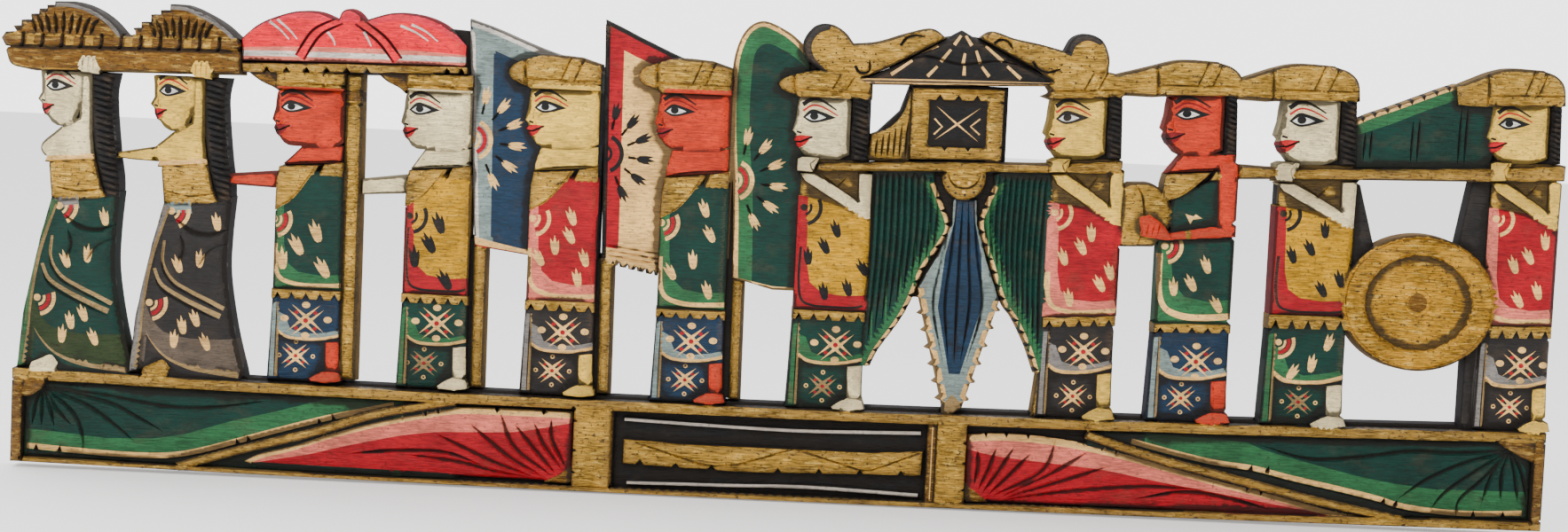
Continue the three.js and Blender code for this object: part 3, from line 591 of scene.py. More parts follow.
RIGHT_FANS = dict(
    ends=(196, 483),
    light=[*between(LOWER_RAIL, 230, 483, -1), (483, 25), (420, 24), (395, 26.5), (370, 30.5), (350, 35),
        (330, 39.5), (310, 44.5), (300, 48.5), (235, 52)],
    hem=((226, 46), (255, 39.5), (280, 34.8), (305, 32.2), (330, 27), (360, 21.5), (385, 16.5), (400, 12.5),
            (420, 10.2), (445, 9.4), (478, 11.2)),
    under=between(LOWER_RAIL, 478, 226, -1),
    hem_width=3.4,
    green_nicks=[(303, 31, 75), (314, 31, 75), (389, 14, 75), (397, 13, 75), (447, 8, 90), (466, 8.5, 90)],
    corner=(468, 51),
    green_pleats=(
        (3.2, (476, 38), (481, 19)), (3.2, (472, 36), (475, 18)), (3.4, (464, 36), (464, 19)),
        (3.4, (458, 36), (452, 17)), (3.6, (452, 32), (438, 18), (436, 7)), (3.6, (446, 36), (428, 22),
            (419, 10)), (3.6, (440, 42), (416, 30), (398, 16.5)), (3.8, (430, 48), (405, 48), (372, 42.5),
            (340, 40), (309, 47)),
    ),
    green_depth=1.8,
    red=[(120, 2), (378, 2.5), *curve((380, 4), (350, 10), (320, 17), (290, 23), (260, 30), (235, 36),
        (215, 40.5), (200, 43), (180, 46), (150, 48), (125, 46.5)), (120, 46)],
    pink=[*curve((120, 36.5), (140, 32.5), (180, 29), (210, 26.5), (240, 21.5), (270, 17), (300, 12.5),
        (330, 8), (362, 3.5)), (382, 4), (300, 23), (215, 44), (150, 50), (120, 48)],
    top=((122, 43.5), (150, 45), (180, 43), (200, 40.2), (215, 37.6), (235, 33.2), (260, 27.2), (290, 20.3),
            (320, 14.3), (350, 7.3), (378, 2.5)),
    top_width=4.6,
    red_nicks=[(133, 47.5, -90), (146, 48, -90), (160, 47.5, -90), (208, 42, -105), (217, 40, -105),
        (302, 20, -105), (311, 18, -105)],
    red_pleats=(
        (4, (127, 14), (129, 25), (128, 36)), (4, (130, 11), (136, 24), (140, 38)),
        (4.2, (133, 9), (142, 22), (151, 38)), (4.2, (137, 8), (148, 19), (162, 35)),
        (4.6, (140, 7), (170, 24), (178, 45)), (4.6, (146, 7), (175, 22), (199, 38)),
        (4.4, (148, 6), (180, 17), (212, 29)), (4.2, (146, 4.5), (190, 12), (235, 17), (275, 17)),
        (3.4, (230, 9), (262, 15), (290, 12), (318, 6)),
    ),
    gusset=[(119, 1), (119, 15), (123, 14), (130, 9), (137, 2)],
    rail=((403, 3), (372, 8.5), (340, 14.5), (290, 25.5), (240, 36.5), (196, 49.5)),
    spandrel=[(484, 59), (454, 59), (464, 52.5), (473, 47.5), (484, 43)],
    block=box(101, 0, 121, 54),
    block_nicks=[(121.5, 40, 180), (121.5, 27, 180), (121.5, 10, 180)],
    strips=[
        (box(95, 0, 102.5, 52), 16.8, "old_gold", 1.2, 1),
        (box(97.6, 2, 99.6, 50), 17.6, "cream", 0.8, 0.6),
    ],
)


def draw_fans(relief, fans):
    start, end = fans["ends"]
    green = relief.form(between(LOWER_RAIL, start, end, -1) + between(RAIL_FOOT, end, start, 1), 14.2,
        "green", 2.2, 1.4)
    green.paint(fans["light"], "light_green")
    hem = curve(*fans["hem"])
    green.paint([(x, z - 2.2) for x, z in hem] + fans["under"], "green")
    green.paint(ribbon(hem, fans["hem_width"]), "cream")
    green.cut([(x, z - 2.6) for x, z in hem], 1.6, 1.2)
    black_nicks(green, fans["green_nicks"])
    for width, *path in fans["green_pleats"]:
        green.cut(curve(fans["corner"], *path), width, fans["green_depth"], LAST_END)
    red = relief.form(fans["red"], 14.8, "red", 2.2, 1.5)
    red.paint(fans["pink"], "pink")
    red.paint(ribbon(curve(*fans["top"]), fans["top_width"]), "cream")
    black_nicks(red, fans["red_nicks"])
    for width, *path in fans["red_pleats"]:
        red.cut(curve(*path), width, 2.1)
    relief.form(fans["gusset"], 15.6, "old_gold", 1.2, 0.8)
    rail = relief.form(ribbon(curve(*fans["rail"]), 7), 18.3, "gold", 2.6, 2.4)
    if "rail_end" in fans:
        rail.paint(fans["rail_end"], "old_gold")
    relief.form(fans["spandrel"], 18.2, "old_gold", 1.4, 1.2)
    block = relief.form(fans["block"], 18.6, "gold", 1.4, 1)
    black_nicks(block, fans["block_nicks"], 3.6)
    for strip in fans["strips"]:
        relief.form(*strip)


def draw_middle_panel(relief):
    relief.form(between(LOWER_RAIL, -106, 96, -1) + between(RAIL_FOOT, 96, -106, 1), 11.4, "black", 2, 0.6)
    relief.form(ribbon(curve((-99, 45), (-30, 43.2), (20, 42.8), (92, 44.8)), 3.2, 3.4), 15.2, "white", 1.1,
        1.1)
    relief.form(ribbon(curve((-96, 4.2), (-30, 5.4), (20, 6.6), (92, 4.6)), 3.2, 3.6), 15.2, "white", 1.1,
        1.1)
    foot = [*notched((-99, 16), (-30, 14.2), 3, 2.6, 0.2), *notched((-12, 14.2), (93, 17), 4, 2.6, 0.14)]
    bar = relief.form([*foot, (94, 34), (60, 31.5), (-60, 31.5), (-99, 33)], 16.4, "gold", 2.6, 1.6)
    zigzag = [(-90, 30.5), (-50, 19), (-39, 17.6), (-24, 19.5), (11, 31.2), (55, 19), (62, 20), (91, 32)]
    for a, b in zip(zigzag, zigzag[1:]):
        bar.cut([a, b], 1.5, 1.1, NO_END)


# Figures. A man is drawn once, on a body this wide, and fitted to each place by its own heights.

BODY_WIDTH = 45
MAN = (60, 86, 112, 118.5, 172, 199, 216, 253, 272)
BEARER = (60, 86, 112, 118.5, 181, 208, 216, 253, 272)

# The three ways the men are painted
IN_GREEN = dict(skin="red_skin", wrap="green", border="light_green", mark="cream", rings=CREAM_RINGS,
                tier="blue", wash="light_blue")
IN_OCHRE = dict(skin="white_skin", wrap="ochre", border="red", mark="black", rings=OCHRE_RINGS,
                tier="green", wash="light_green")
IN_RED = dict(skin="yellow_skin", wrap="red", border="pink", mark="cream", rings=CREAM_RINGS,
              tier="charcoal", wash="grey")

FIGURES = [
    dict(left=-326.5, right=-282, heights=(62.5, 86.5, 112, 118.5, 168, 197, 210, 246, 257), neck=16,
        face=1, **IN_GREEN, centre=(-326, 163), upper=(-304, 99), lower=(-310, 76),
        petals=((-299, 156), (-311, 147), (-320, 138), (-294, 133)), petal_size=1.05),
    dict(left=-244, right=-201, heights=(61.5, 87, 113, 119, 174, 198, 211.5, 248.5, 259), neck=12, face=0,
        **IN_OCHRE, centre=(-240, 169), upper=(-220.5, 101), lower=(-228, 75),
        petals=((-221, 165), (-227, 152), (-236, 143), (-216, 129)), petal_size=1.05),
    dict(left=-165, right=-120, heights=(61, 86, 112, 118.5, 175, 200.5, 216.5, 253.5, 273), neck=6, face=0,
        cap=16, **IN_RED, centre=(-162, 171), upper=(-140, 99), lower=(-146, 74),
        petals=((-137, 173), (-138, 161), (-147, 154), (-157, 146), (-128, 147), (-132, 134))),
    dict(left=-81.5, right=-37, heights=(60, 84, 111, 117, 174, 200.5, 219, 254.5, 274.5), neck=6,
        face=-1.5, cap=17, **IN_GREEN, centre=(-80, 172), upper=(-58, 97), lower=(-61, 72),
        petals=((-53, 182), (-49, 166), (-59, 149), (-73, 141), (-49, 130))),
    dict(left=235.5, right=285, rise=1.5, heights=(62, 86.5, 116, 121.5, 199, 217.5, 230, 267.5, 288),
        neck=11, face=4, hair=(35, 42), cap=29, lift=12, blouse=178, **IN_GREEN, centre=(240, 172),
        upper=(264, 99), lower=(256, 75), petals=((267, 161), (258, 149), (247, 146), (275, 136))),
    dict(left=5.5, right=52, heights=(60, 86.5, 114, 120.5, 181, 208.5, 217, 256, 271), face=-0.5,
        hair=(31, 41.5), cap=15, **IN_OCHRE, centre=(10, 186), upper=(34, 99), lower=(27, 72),
        petals=((31, 173), (24, 162), (14, 155), (49, 149), (40, 136), (25, 133)), bearer=True),
    dict(left=165, right=211.5, rise=3, heights=(61, 86.5, 116, 122.5, 181, 215, 223, 262, 278), face=0,
        hair=(33.5, 42.5), cap=5, **IN_RED, centre=(169, 190), upper=(192, 102), lower=(187, 73),
        petals=((176, 162), (187, 169), (193, 178), (200, 146), (206, 154), (181, 136)), bearer=True),
    dict(left=308.5, right=359, rise=1, heights=(63, 87.5, 122, 131, 188, 216, 227.5, 268, 289), face=3.5,
        hair=(34.5, 43.5), cap=25, lift=11, **IN_OCHRE, centre=(314, 196), upper=(316, 114),
        lower=(331, 76), petals=((321, 170), (332, 175), (341, 187), (341, 149), (352, 156)), bearer=True,
        upper_rings=True),
    dict(left=444, right=489, rise=1.5, heights=(66, 91, 122, 130, 192, 222.5, 234, 270.5, 292), face=0.5,
        hair=(36, 43), cap=24, lift=11, **IN_RED, centre=(449, 199), upper=(471, 106), lower=(466, 79),
        petals=((462, 170), (471, 176), (481, 186), (466, 148), (478, 154)), bearer=True),
]


def fitted(figure, template):
    """Maps the template's drawing to the figure's own place and heights."""
    scale = (figure["right"] - figure["left"]) / BODY_WIDTH

    def place(points):
        out = []
        for u, v in points:
            height = np.interp(v, template, figure["heights"])
            if v < template[0]:
                height = figure["heights"][0] + (v - template[0])
            if v > template[-1]:
                height = figure["heights"][-1] + (v - template[-1])
            rise = figure.get("rise", 0) * u / BODY_WIDTH * min(max((v - 60) / 26, 0), 1)
            out.append((figure["left"] + u * scale, float(height) + rise))
        return out

    return place


# A star: the turns of its strokes and half a stroke's width; its dots are shares of its reach
STAR_TURNS = (40, 140)
STROKE_HALF = 1.25
DOT_PLACE = 0.58
DOT_SIZE = 0.1
CENTRE_SIZE = 0.12


def star(form, centre, reach, mark, tight=1.9):
    """Two double strokes crossed, with red dots."""
    x, z = centre
    for turn in STAR_TURNS:
        ray = heading(turn)
        side = np.array([-ray[1], ray[0]])
        for offset in (-tight, tight):
            a0 = np.array(centre) + side * offset - ray * reach
            a1 = np.array(centre) + side * offset + ray * reach
            middle = (a0 + a1) / 2
            thick = side * STROKE_HALF
            form.paint([tuple(a0), tuple(middle + thick), tuple(a1), tuple(middle - thick)], mark)
    for turn in (*STAR_TURNS, *(180 + turn for turn in STAR_TURNS)):
        a = math.radians(turn)
        dot_centre = (x + DOT_PLACE * reach * math.cos(a), z + DOT_PLACE * reach * math.sin(a))
        form.paint(dot(dot_centre, reach * DOT_SIZE), "red")
    form.paint(dot(centre, reach * CENTRE_SIZE), "red")


def draw_skirts(relief, figure, place):
    tier, wash = figure["tier"], figure["wash"]
    skirt = relief.form(place([(-1.2, 57), (45.5, 57), (45.5, 92), (0, 92)]), 13.5, tier, 2.2, 1.2)
    star(skirt, figure["lower"], 10.5, "cream" if tier != "green" else "tan", 1.5)
    x, z = figure["lower"]
    for dx, dz in ((0, 9.5), (0, -9.5), (11, 0), (-10.5, 0)):
        skirt.paint(dot((x + dx, z + dz * 0.95), 1.5), "cream")
        skirt.paint(dot((x + dx, z + dz * 0.95), 0.7), tier)
    front = relief.form(place([(-2.2, 57.5), (6, 57.5), (6, 116), (0, 116)]), 15, tier, 1.8, 1.3)
    front.paint(place([(0, 60), (3, 60), (3.6, 110), (1, 110)]), wash)
    front.paint(place([(3.6, 60), (5.2, 60), (5.2, 110), (4, 110)]), "tan")
    front.cut(place([(3.2, 60), (3.8, 110)]), 1, 0.9)
    hem = curve((4, 89.5), (10, 86.2), (18, 84.9), (32, 85.2), (45, 88))
    upper = relief.form(place([(4, 117), *hem, (45, 117)]), 15.4, tier, 2, 1.4)
    upper.paint(place([(4.5, 104), (9, 102), (13, 93), (22, 90), (36, 91.5), (45, 93.5), (45, 86), (32, 83),
        (18, 83), (4.5, 86)]), wash)
    upper.paint(place(ribbon(curve((4.5, 91), (10, 87.7), (18, 86.4), (32, 86.7), (45, 89.5)), 2.6)), "cream")
    if figure.get("upper_rings"):
        upper.rings(figure["upper"], CREAM_RINGS, -90, 20, 0.9)
        upper.petals([(348, 115), (338, 101), (326, 95)], "cream", 0.85, -20)
    else:
        star(upper, figure["upper"], 13.5, "cream")
        x, z = figure["upper"]
        for dx, dz in ((0, 10), (14, 1), (-13.5, 1), (0, -9.5)):
            upper.paint(arc((x + dx, z + dz), (2.7, 2.1), 0, 330, 1.4), "cream")
    leg = relief.form(place([(35.5, 60), (46, 60), (45, 86.5), (35, 85.5)]), 15.6, figure["skin"], 2.4, 1.6)
    leg.cut(place([(37.5, 62), (37, 84)]), 1.2, 0.5)
    relief.form(place([(27, 57.5), *curve((26, 60), (31, 63.5), (36, 66)), (46, 65), (48, 58.5),
        (38, 56.5)]), 19.9, figure["skin"], 2.2, 1.8)
    relief.form(place([*notched((-0.4, 112), (45.4, 112), 5, 3.6), (45.4, 119.4), (-0.4, 119.4)]), 16.8,
        "gold", 1.3, 0.9)


def draw_wrap(relief, figure, place, outline, crown):
    wrap = relief.form(place(outline), 16.5, figure["wrap"], 5, 2.2)
    wrap.paint(place([(-1, 117), (46, 117), (46, 130), (30, 129), (17, 131), (10, 137), (7.5, 150),
        (6.5, crown), (-1, crown)]), figure["border"])
    if figure["border"] == "red":
        wrap.paint(place(ribbon(curve((3.5, 160), (3, 140), (5, 126), (12, 122), (24, 121.3), (38, 121.6),
            (43, 123)), 1.6)), "black")
    else:
        wrap.paint(place(ribbon(curve((1.8, 150), (2.2, 135), (5, 127), (12, 123.4), (24, 121.8),
            (45, 122.6)), 2.9)), "cream")
    wrap.rings(figure["centre"], figure["rings"])
    wrap.petals(figure["petals"], figure["mark"], figure.get("petal_size", 0.86), 18)
    return wrap


def draw_face(head, at, lips):
    """Brow, eye, lips and nostril, painted and lightly cut."""
    lid = curve((1.4, 240.8), (6.5, 245.5), (12.5, 244.6), (22, 241.2))
    head.paint(at(lid + curve((22, 241.2), (12.5, 238.3), (6.5, 237.8), (1.4, 240.8))), "black")
    white = curve((3.2, 240.8), (7, 243.4), (11.5, 242.9), (15.8, 241.1))
    white += curve((15.8, 241.1), (11.5, 239.5), (7, 239.1), (3.2, 240.8))
    head.paint(at(white), "eye_white")
    head.paint(at(arc((8.4, 241.6), (2.6, 2.3), 0, 340, 0.9)), "black")
    head.paint(at(ribbon(curve((1.6, 244.6), (7, 248), (13.5, 247.2), (23, 242.4), step=1.4), 1.3, 0.7)),
        lips)
    head.paint(at(ribbon(curve((1.2, 248.4), (7, 251.8), (13, 251), (22, 245.8), step=1.4), 2.8, 0.8)),
        "black")
    head.paint(at([(-4.6, 228), *curve((-4.6, 228), (0, 229.8), (7.4, 229.6)),
        *curve((7.4, 229.6), (3.6, 224.4), (-2.2, 221.2)), (-3.6, 224.5)]), lips)
    head.paint(at(ribbon([(-4, 225.8), (1, 226), (8, 229.2)], 1.1)), "seam")
    head.paint(at(ribbon([(-1.8, 232), (1.2, 231.2)], 1.2)), "seam")
    head.cut(at([(-3.6, 225.6), (1, 225.9), (7.6, 228.9)]), 1.5, 1)
    head.cut(at(curve((1.4, 238), (0.6, 233.5), (2.6, 231), (1.2, 229.6))), 1.8, 0.9)
    head.cut(at(curve((1, 245.6), (7, 249.2), (13, 248.6), (22, 243.8))), 2, 0.6)
    head.cut(at(curve((2.4, 236.4), (9, 234.6), (18, 237.5))), 2.4, 0.5)
    head.cut(at(curve((-1, 221.6), (2.5, 222.4), (5.2, 225))), 1.8, 0.8)


def draw_head(relief, figure, place):
    profile = [(-1.5, 254), (-2.5, 247), (-3, 240.5), (-5, 232.5), (-2.8, 230.2), (-3.8, 227.3),
        (-1.8, 223), (0.4, 221), (3, 217.5), (6.5, 215.5)]
    profile = [(u + figure["face"], v) for u, v in profile]
    nape = figure["hair"][0] if "hair" in figure else 43.5
    skin = figure["skin"]
    head = relief.form(place([*profile, *curve((10, 215.4), (24, 215.4), (nape - 5, 216.4), (nape, 219)),
        (nape, 255)]), 17.4, skin, 7.5, 3.7)
    draw_face(head, lambda points: place([(u + figure["face"], v) for u, v in points]),
        "dark_red" if skin == "red_skin" else "lip")
    if "hair" in figure:
        start, end = figure["hair"]
        wave = [(start + 0.6 * math.sin(i * 1.1), 216 + i * 3.6) for i in range(12)]
        hair = relief.form(place([(start - 1, 215.5), (end + 1.3, 215.5), (end, 256), (start - 1, 256),
            *reversed(wave)]), 16.2, "black", 1.6, 1.4)
        for i in range(11):
            v = 218 + i * 3.3
            hair.cut(place([(start - 0.5, v + 3.4), (end + 1.2, v)]), 2.2, 1.3, LAST_END)
    if "cap" in figure:
        draw_cap(relief, figure, place)
    else:
        cap = relief.form(place([(-1, 253), (43.5, 253), (43.5, 273), (-2, 273)]), 17, "gold", 1.6, 1.2)
        cap.cut(place([(0, 259), (43, 259)]), 1.6, 0.8, NO_END)
        relief.form(place([(27, 255), (31.5, 255), (34.5, 272), (30, 272)]), 17.9, "gold", 1.2, 0.9)
    relief.form(place(box(-0.5, 252.5, nape, 256.5)), 18.6, skin if "hair" not in figure else "gold", 1.4,
        1.1)


def draw_cap(relief, figure, place):
    reach = -figure["cap"]
    lift = figure.get("lift", 0)
    if lift:
        tip = [(reach, 252.5), (reach - 2, 252.5 + lift)]
        back = curve((30, 273), (38, 270), (43.5, 264), (45, 252.5))
        brim = [(-6, 251.5), (-1, 252)]
    else:
        tip = curve((-8, 255), (reach + 2, 258), (reach, 263), (reach + 3, 267.5), (-6, 271))
        back = [(43.5, 269.5), (43.5, 253)]
        brim = [(-1, 252)]
    crown = curve((30, 273.5), (15, 274.5), (5, 274), (-6, 271))
    cap = relief.form(place([*back[::-1], *crown, *tip[::-1], *brim]), 18.4, "gold", 4.2, 2.4)
    cap.cut(place([(-4.5, 254), (-5.5, 271)]), 3.4, 1.8, NO_END)
    cap.cut(place([(-3.5, 258.6), (43, 258.6)]), 1.5, 0.9, NO_END)
    relief.form(place([(19.5, 255.5), (24, 255.5), (30, 272), (25.5, 272)]), 19.1, "gold", 1.2, 1)
    cap.cut(place([(17.5, 258), (23.5, 272)]), 1.3, 0.9, NO_END)
    cap.cut(place([(26, 258), (32, 272)]), 1.3, 0.9, NO_END)


def draw_man(relief, figure):
    place = fitted(figure, MAN)
    neck, face = figure["neck"], figure["face"]
    relief.form(place([(0.8, 58), (44.2, 58), (42.4, 255), (3 + face, 255), (1 + face, 236),
        (6 + face, 219), (neck + 2.5, 216.5), (neck * 0.5 + 2.5, 206), (4, 199), (0.8, 188)]), 11.5, "seam",
        1.2, 0.6)
    draw_skirts(relief, figure, place)
    if "blouse" in figure:
        waist = np.interp(figure["blouse"], figure["heights"], MAN)
        draw_wrap(relief, figure, place, [(0, 118.5), (45, 118.5), (45, waist + 1), (0, waist - 1)], waist)
        blouse = relief.form(place([(6, waist - 2), (45, waist), (45, 204), (6, 180)]), 15.2, "green", 2.4,
            1.4)
        blouse.paint([(252, 193), (257.5, 191.5), (261.5, 197.5), (258.5, 193), (263, 190.5), (257, 189.5),
            (255.5, 186.5)], "cream")
    else:
        draw_wrap(relief, figure, place, [(0, 118.5), (45, 118.5), (45, 198), (3, 198), (0.5, 190),
            (0, 172)], 176)
    sash_edge = curve((0, 172), (11, 177), (20, 187), (30, 202))
    sash = relief.form(place([(0, 172), *sash_edge, (2, 199.5), (0.5, 190)]), 17.2, "gold", 1.6, 1.1)
    sash.cut(place([(u - 1.6, v + 1.6) for u, v in sash_edge]), 1.1, 0.6)
    relief.form(place([(27, 193), (44, 193.5), (44, 205), (31, 202.5)]), 17, "gold", 1.4, 1.1)
    shoulder = curve((2, 199), (figure["neck"] * 0.5, 206), (figure["neck"], 216.5))
    chest = relief.form(place([*shoulder[::-1], (43.5, 203), (43.5, 218)]), 15.6, figure["skin"], 3, 2)
    chest.cut(place([(4, 200.8), (24, 203.2), (43, 204.5)]), 2, 1.2)
    draw_head(relief, figure, place)


def draw_bearer(relief, figure):
    place = fitted(figure, BEARER)
    face = figure["face"]
    relief.form(place([(0.8, 58), (44.2, 58), (43, 255), (3 + face, 255), (1 + face, 236), (6 + face, 220),
        (8, 212), (0.8, 206)]), 11.5, "seam", 1.2, 0.6)
    draw_skirts(relief, figure, place)
    draw_wrap(relief, figure, place, [(0, 118.5), (46, 118.5), (46, 184), (30, 190), (0, 194)], 193)
    chest = relief.form(place([(1, 184), (43.6, 178), (43.6, 216.4), (1, 216.4)]), 14, "gold", 2, 1.2)
    chest.cut(place([(14, 207), (24, 199), (30, 206)]), 2, 1.2)
    skin = figure["skin"]
    relief.form(place([(0, 207.5), (4, 202), (40, 180), (45.5, 180), (45.5, 187), (10, 208)]), 18, skin,
        2.8, 2.4)
    relief.form(place([(37, 186), (45.5, 180.5), (46, 209), (36.5, 209)]), 18, skin, 3, 2.2)
    hand = relief.form(place([(-1.5, 216), (-1.5, 208), (9, 207.5), (13, 217), (2, 217.5)]), 19.9, skin,
        2.4, 2)
    hand.cut(place([(9, 208.5), (7, 213), (10.5, 216.5)]), 1.2, 1)
    draw_head(relief, figure, place)


# Women. One is drawn at the left end, the second stands one place to the right in her own colours.

WOMAN_STEP = 71.5
WOMEN = [
    dict(shift=0, skin="white_skin", foot="white_skin", skirt="green", strip="light_green",
         corner="grey", swoop="tan", low="olive"),
    dict(shift=WOMAN_STEP, skin="yellow_skin", foot="gold", skirt="charcoal", strip="grey",
         corner="light_blue", swoop="tan", low="taupe"),
]


def draw_woman(relief, look):
    def at(points):
        return [(x + look["shift"], z) for x, z in points]

    skin = look["skin"]
    relief.form(at([(-484, 62), (-416, 62), (-427.5, 125), (-427, 174), (-432, 250), (-475.5, 250),
        (-475, 238), (-470, 220), (-462, 217.5), (-462, 214), (-468.5, 209), (-474.5, 203), (-470, 192),
        (-467.5, 172), (-475, 142)]), 11.5, "seam", 1.2, 0.6)
    right = curve((-414, 65), (-421, 92), (-426.5, 125), (-426.5, 150), (-424.5, 176))
    skirt = relief.form(at([*curve((-468.5, 172), (-476, 142), (-483, 110), (-486.5, 80), (-489, 60)),
        (-413, 60), *right]), 15.4, look["skirt"], 7, 3)
    skirt.paint(at([(-472, 164), (-450, 164), (-452, 173), (-472, 173)]), look["corner"])
    left_strip = relief.form(at([(-463, 168), *curve((-463, 168), (-473, 135), (-478, 105), (-479.5, 84)),
        (-482, 62), (-488, 60), (-485, 96), (-476, 142), (-468.5, 171)]), 16.4, look["strip"], 2.2, 1.3)
    left_strip.paint(at(ribbon(curve((-464.4, 166), (-474, 137), (-478.6, 108), (-480.4, 86), (-483, 64)),
        1.8)), "tan")
    left_strip.cut(at(curve((-467.5, 163), (-477, 135), (-482, 106), (-484, 80))), 1.2, 0.8)
    skirt.rings(at([(-463, 165)])[0], CREAM_RINGS, -62, 8, 1.02)
    skirt.rings(at([(-475.5, 106)])[0], CREAM_RINGS, -78, 20, 1)
    skirt.petals(at([(-434, 159), (-458, 131), (-444, 135)]), "cream", 0.84, 10)
    skirt.paint(at([(-479, 108), *curve((-474, 96), (-466, 88), (-452, 84.5), (-436, 84), (-418, 85)),
        (-414, 60), (-481, 60)]), look["low"])
    skirt.petals(at([(-454, 92), (-446, 97), (-459, 83), (-439, 82)]), "cream", 0.84, 10)
    skirt.cut(at(curve((-460, 160), (-450, 152.5), (-438, 151), (-426, 155))), 4.6, 2.2)
    skirt.cut(at(curve((-457, 150), (-455, 141), (-458, 131))), 3.6, 1.4)
    skirt.cut(at(curve((-426, 146), (-438, 141), (-446, 129))), 3.2, 1.1)
    for width, *path in ((2.8, (-467, 146), (-467.5, 132), (-461, 121), (-449, 114), (-437, 108.5),
            (-428, 104)), (3.4, (-473, 128), (-468, 118), (-455, 110), (-442, 104), (-430, 99))):
        line = curve(*path)
        skirt.paint(at(ribbon(line, width * 0.6, width)), look["swoop"])
        skirt.cut(at([(x - 0.4, z - width * 0.85) for x, z in line]), 2.2, 1.2)
    hem = relief.form(at([(-480, 60), *curve((-477.5, 92), (-472, 83), (-463, 74), (-449, 68)),
        (-418, 64.5), (-412, 57.5), (-480, 57.5)]), 16.6, look["skirt"], 2.4, 1.8)
    hem.paint(at(ribbon(curve((-477.5, 94), (-471.6, 82.5), (-462.4, 73), (-449, 67), (-434, 64.4),
        (-417, 62.6)), 5)), "tan")
    relief.form(at([(-481, 57.5), (-478, 65), *curve((-472, 68), (-465, 70.5), (-460, 65)), (-462, 57.5)]),
        19.4, look["foot"], 2.6, 2.2)
    waist = relief.form(at([(-471.5, 194), (-469, 169), (-432, 170), (-437, 180), (-441, 198)]), 15.6,
        "gold", 3, 1.8)
    waist.cut(at(curve((-468.5, 178), (-452, 175), (-434.5, 177.5))), 1.6, 1)
    bust = [*curve((-464, 216), (-469, 211.5), (-476, 205), (-476.5, 199), (-471, 193)), (-441, 193),
        (-443, 210), (-444, 251), (-453, 251), (-453, 222)]
    relief.form(at(bust), 15.4, skin, 4.4, 2.6)
    chest = relief.form(at([(-474, 192), (-472, 196.8), (-441, 200), (-440.5, 195)]), 16.6, "cream", 1.8, 1.3)
    chest.paint(at([(-474, 191), (-474, 193.4), (-440, 196.4), (-440, 193)]), "gold")
    hair = relief.form(at([(-445, 251), (-444, 215), (-441, 195), (-434, 172),
        *curve((-425, 172), (-425.5, 185), (-428, 202), (-431, 235), (-429, 251))]), 16.4, "black", 3.2, 2)
    for i in range(19):
        z = 175 + i * 4
        edge = -425 - max(z - 185, 0) * 0.105
        hair.cut(at([(edge - 13.5, z + 4), (edge - 6, z + 2), (edge + 1.5, z)]), 2.3, 1.5, FIRST_END)
    draw_woman_head(relief, look, at)
    hand = relief.form(at([(-453, 250), (-454, 258), (-452, 261.5), (-441, 261.5), (-438.5, 256),
        (-439, 249)]), 18.4, skin, 2.6, 2)
    for x in (-449.6, -446.2, -442.8):
        hand.cut(at([(x - 0.4, 251.5), (x, 261)]), 1.3, 1.1, FIRST_END)


def draw_woman_head(relief, look, at):
    face = [(-478, 251), (-477.3, 245), (-477, 237), (-479.6, 232.3), (-477, 229.7), (-476.6, 226),
        (-475, 222.6), (-472.5, 221), (-470, 217.5)]
    cheek = curve((-466, 215.3), (-458, 216.5), (-452.5, 223), (-450.5, 236), (-450.5, 251))
    head = relief.form(at([*face, *cheek]), 17.4, look["skin"], 7, 3.8)
    draw_face(head, lambda points: at([(0.88 * u - 474.4, v) for u, v in points]), "lip")


# What the women carry: two ribbed domes on a roped tray

def stepped(*points):
    """Steps through the points, each level before it drops."""
    out = []
    for (x0, _), (x1, z1) in zip(points, points[1:]):
        out += [(x0, z1), (x1, z1)]
    return out


def draw_dome(relief, top, steps, middle, spread):
    outline = [*curve(*top), *steps]
    foot = [(outline[-1][0], 270), (outline[0][0], 270)]
    dome = relief.form([*outline, *foot], 16.8, "bronze", 3.4, 2.4)
    dome.paint(ribbon(curve(*top), 8), "grey")
    for i in range(9):
        offset = (i - 4) * spread
        dome.cut(curve((middle + offset * 0.92, 274), (middle + offset * 1.06, 281),
            (middle + offset * 1.25, 288.5 - abs(offset) * 0.22)), 3.2, 2.2)
    dome.cut(curve((middle - 30, 279), (middle - 16, 289), (middle, 291.5), (middle + 16, 289),
        (middle + 30, 279)), 1.7, 0.9)


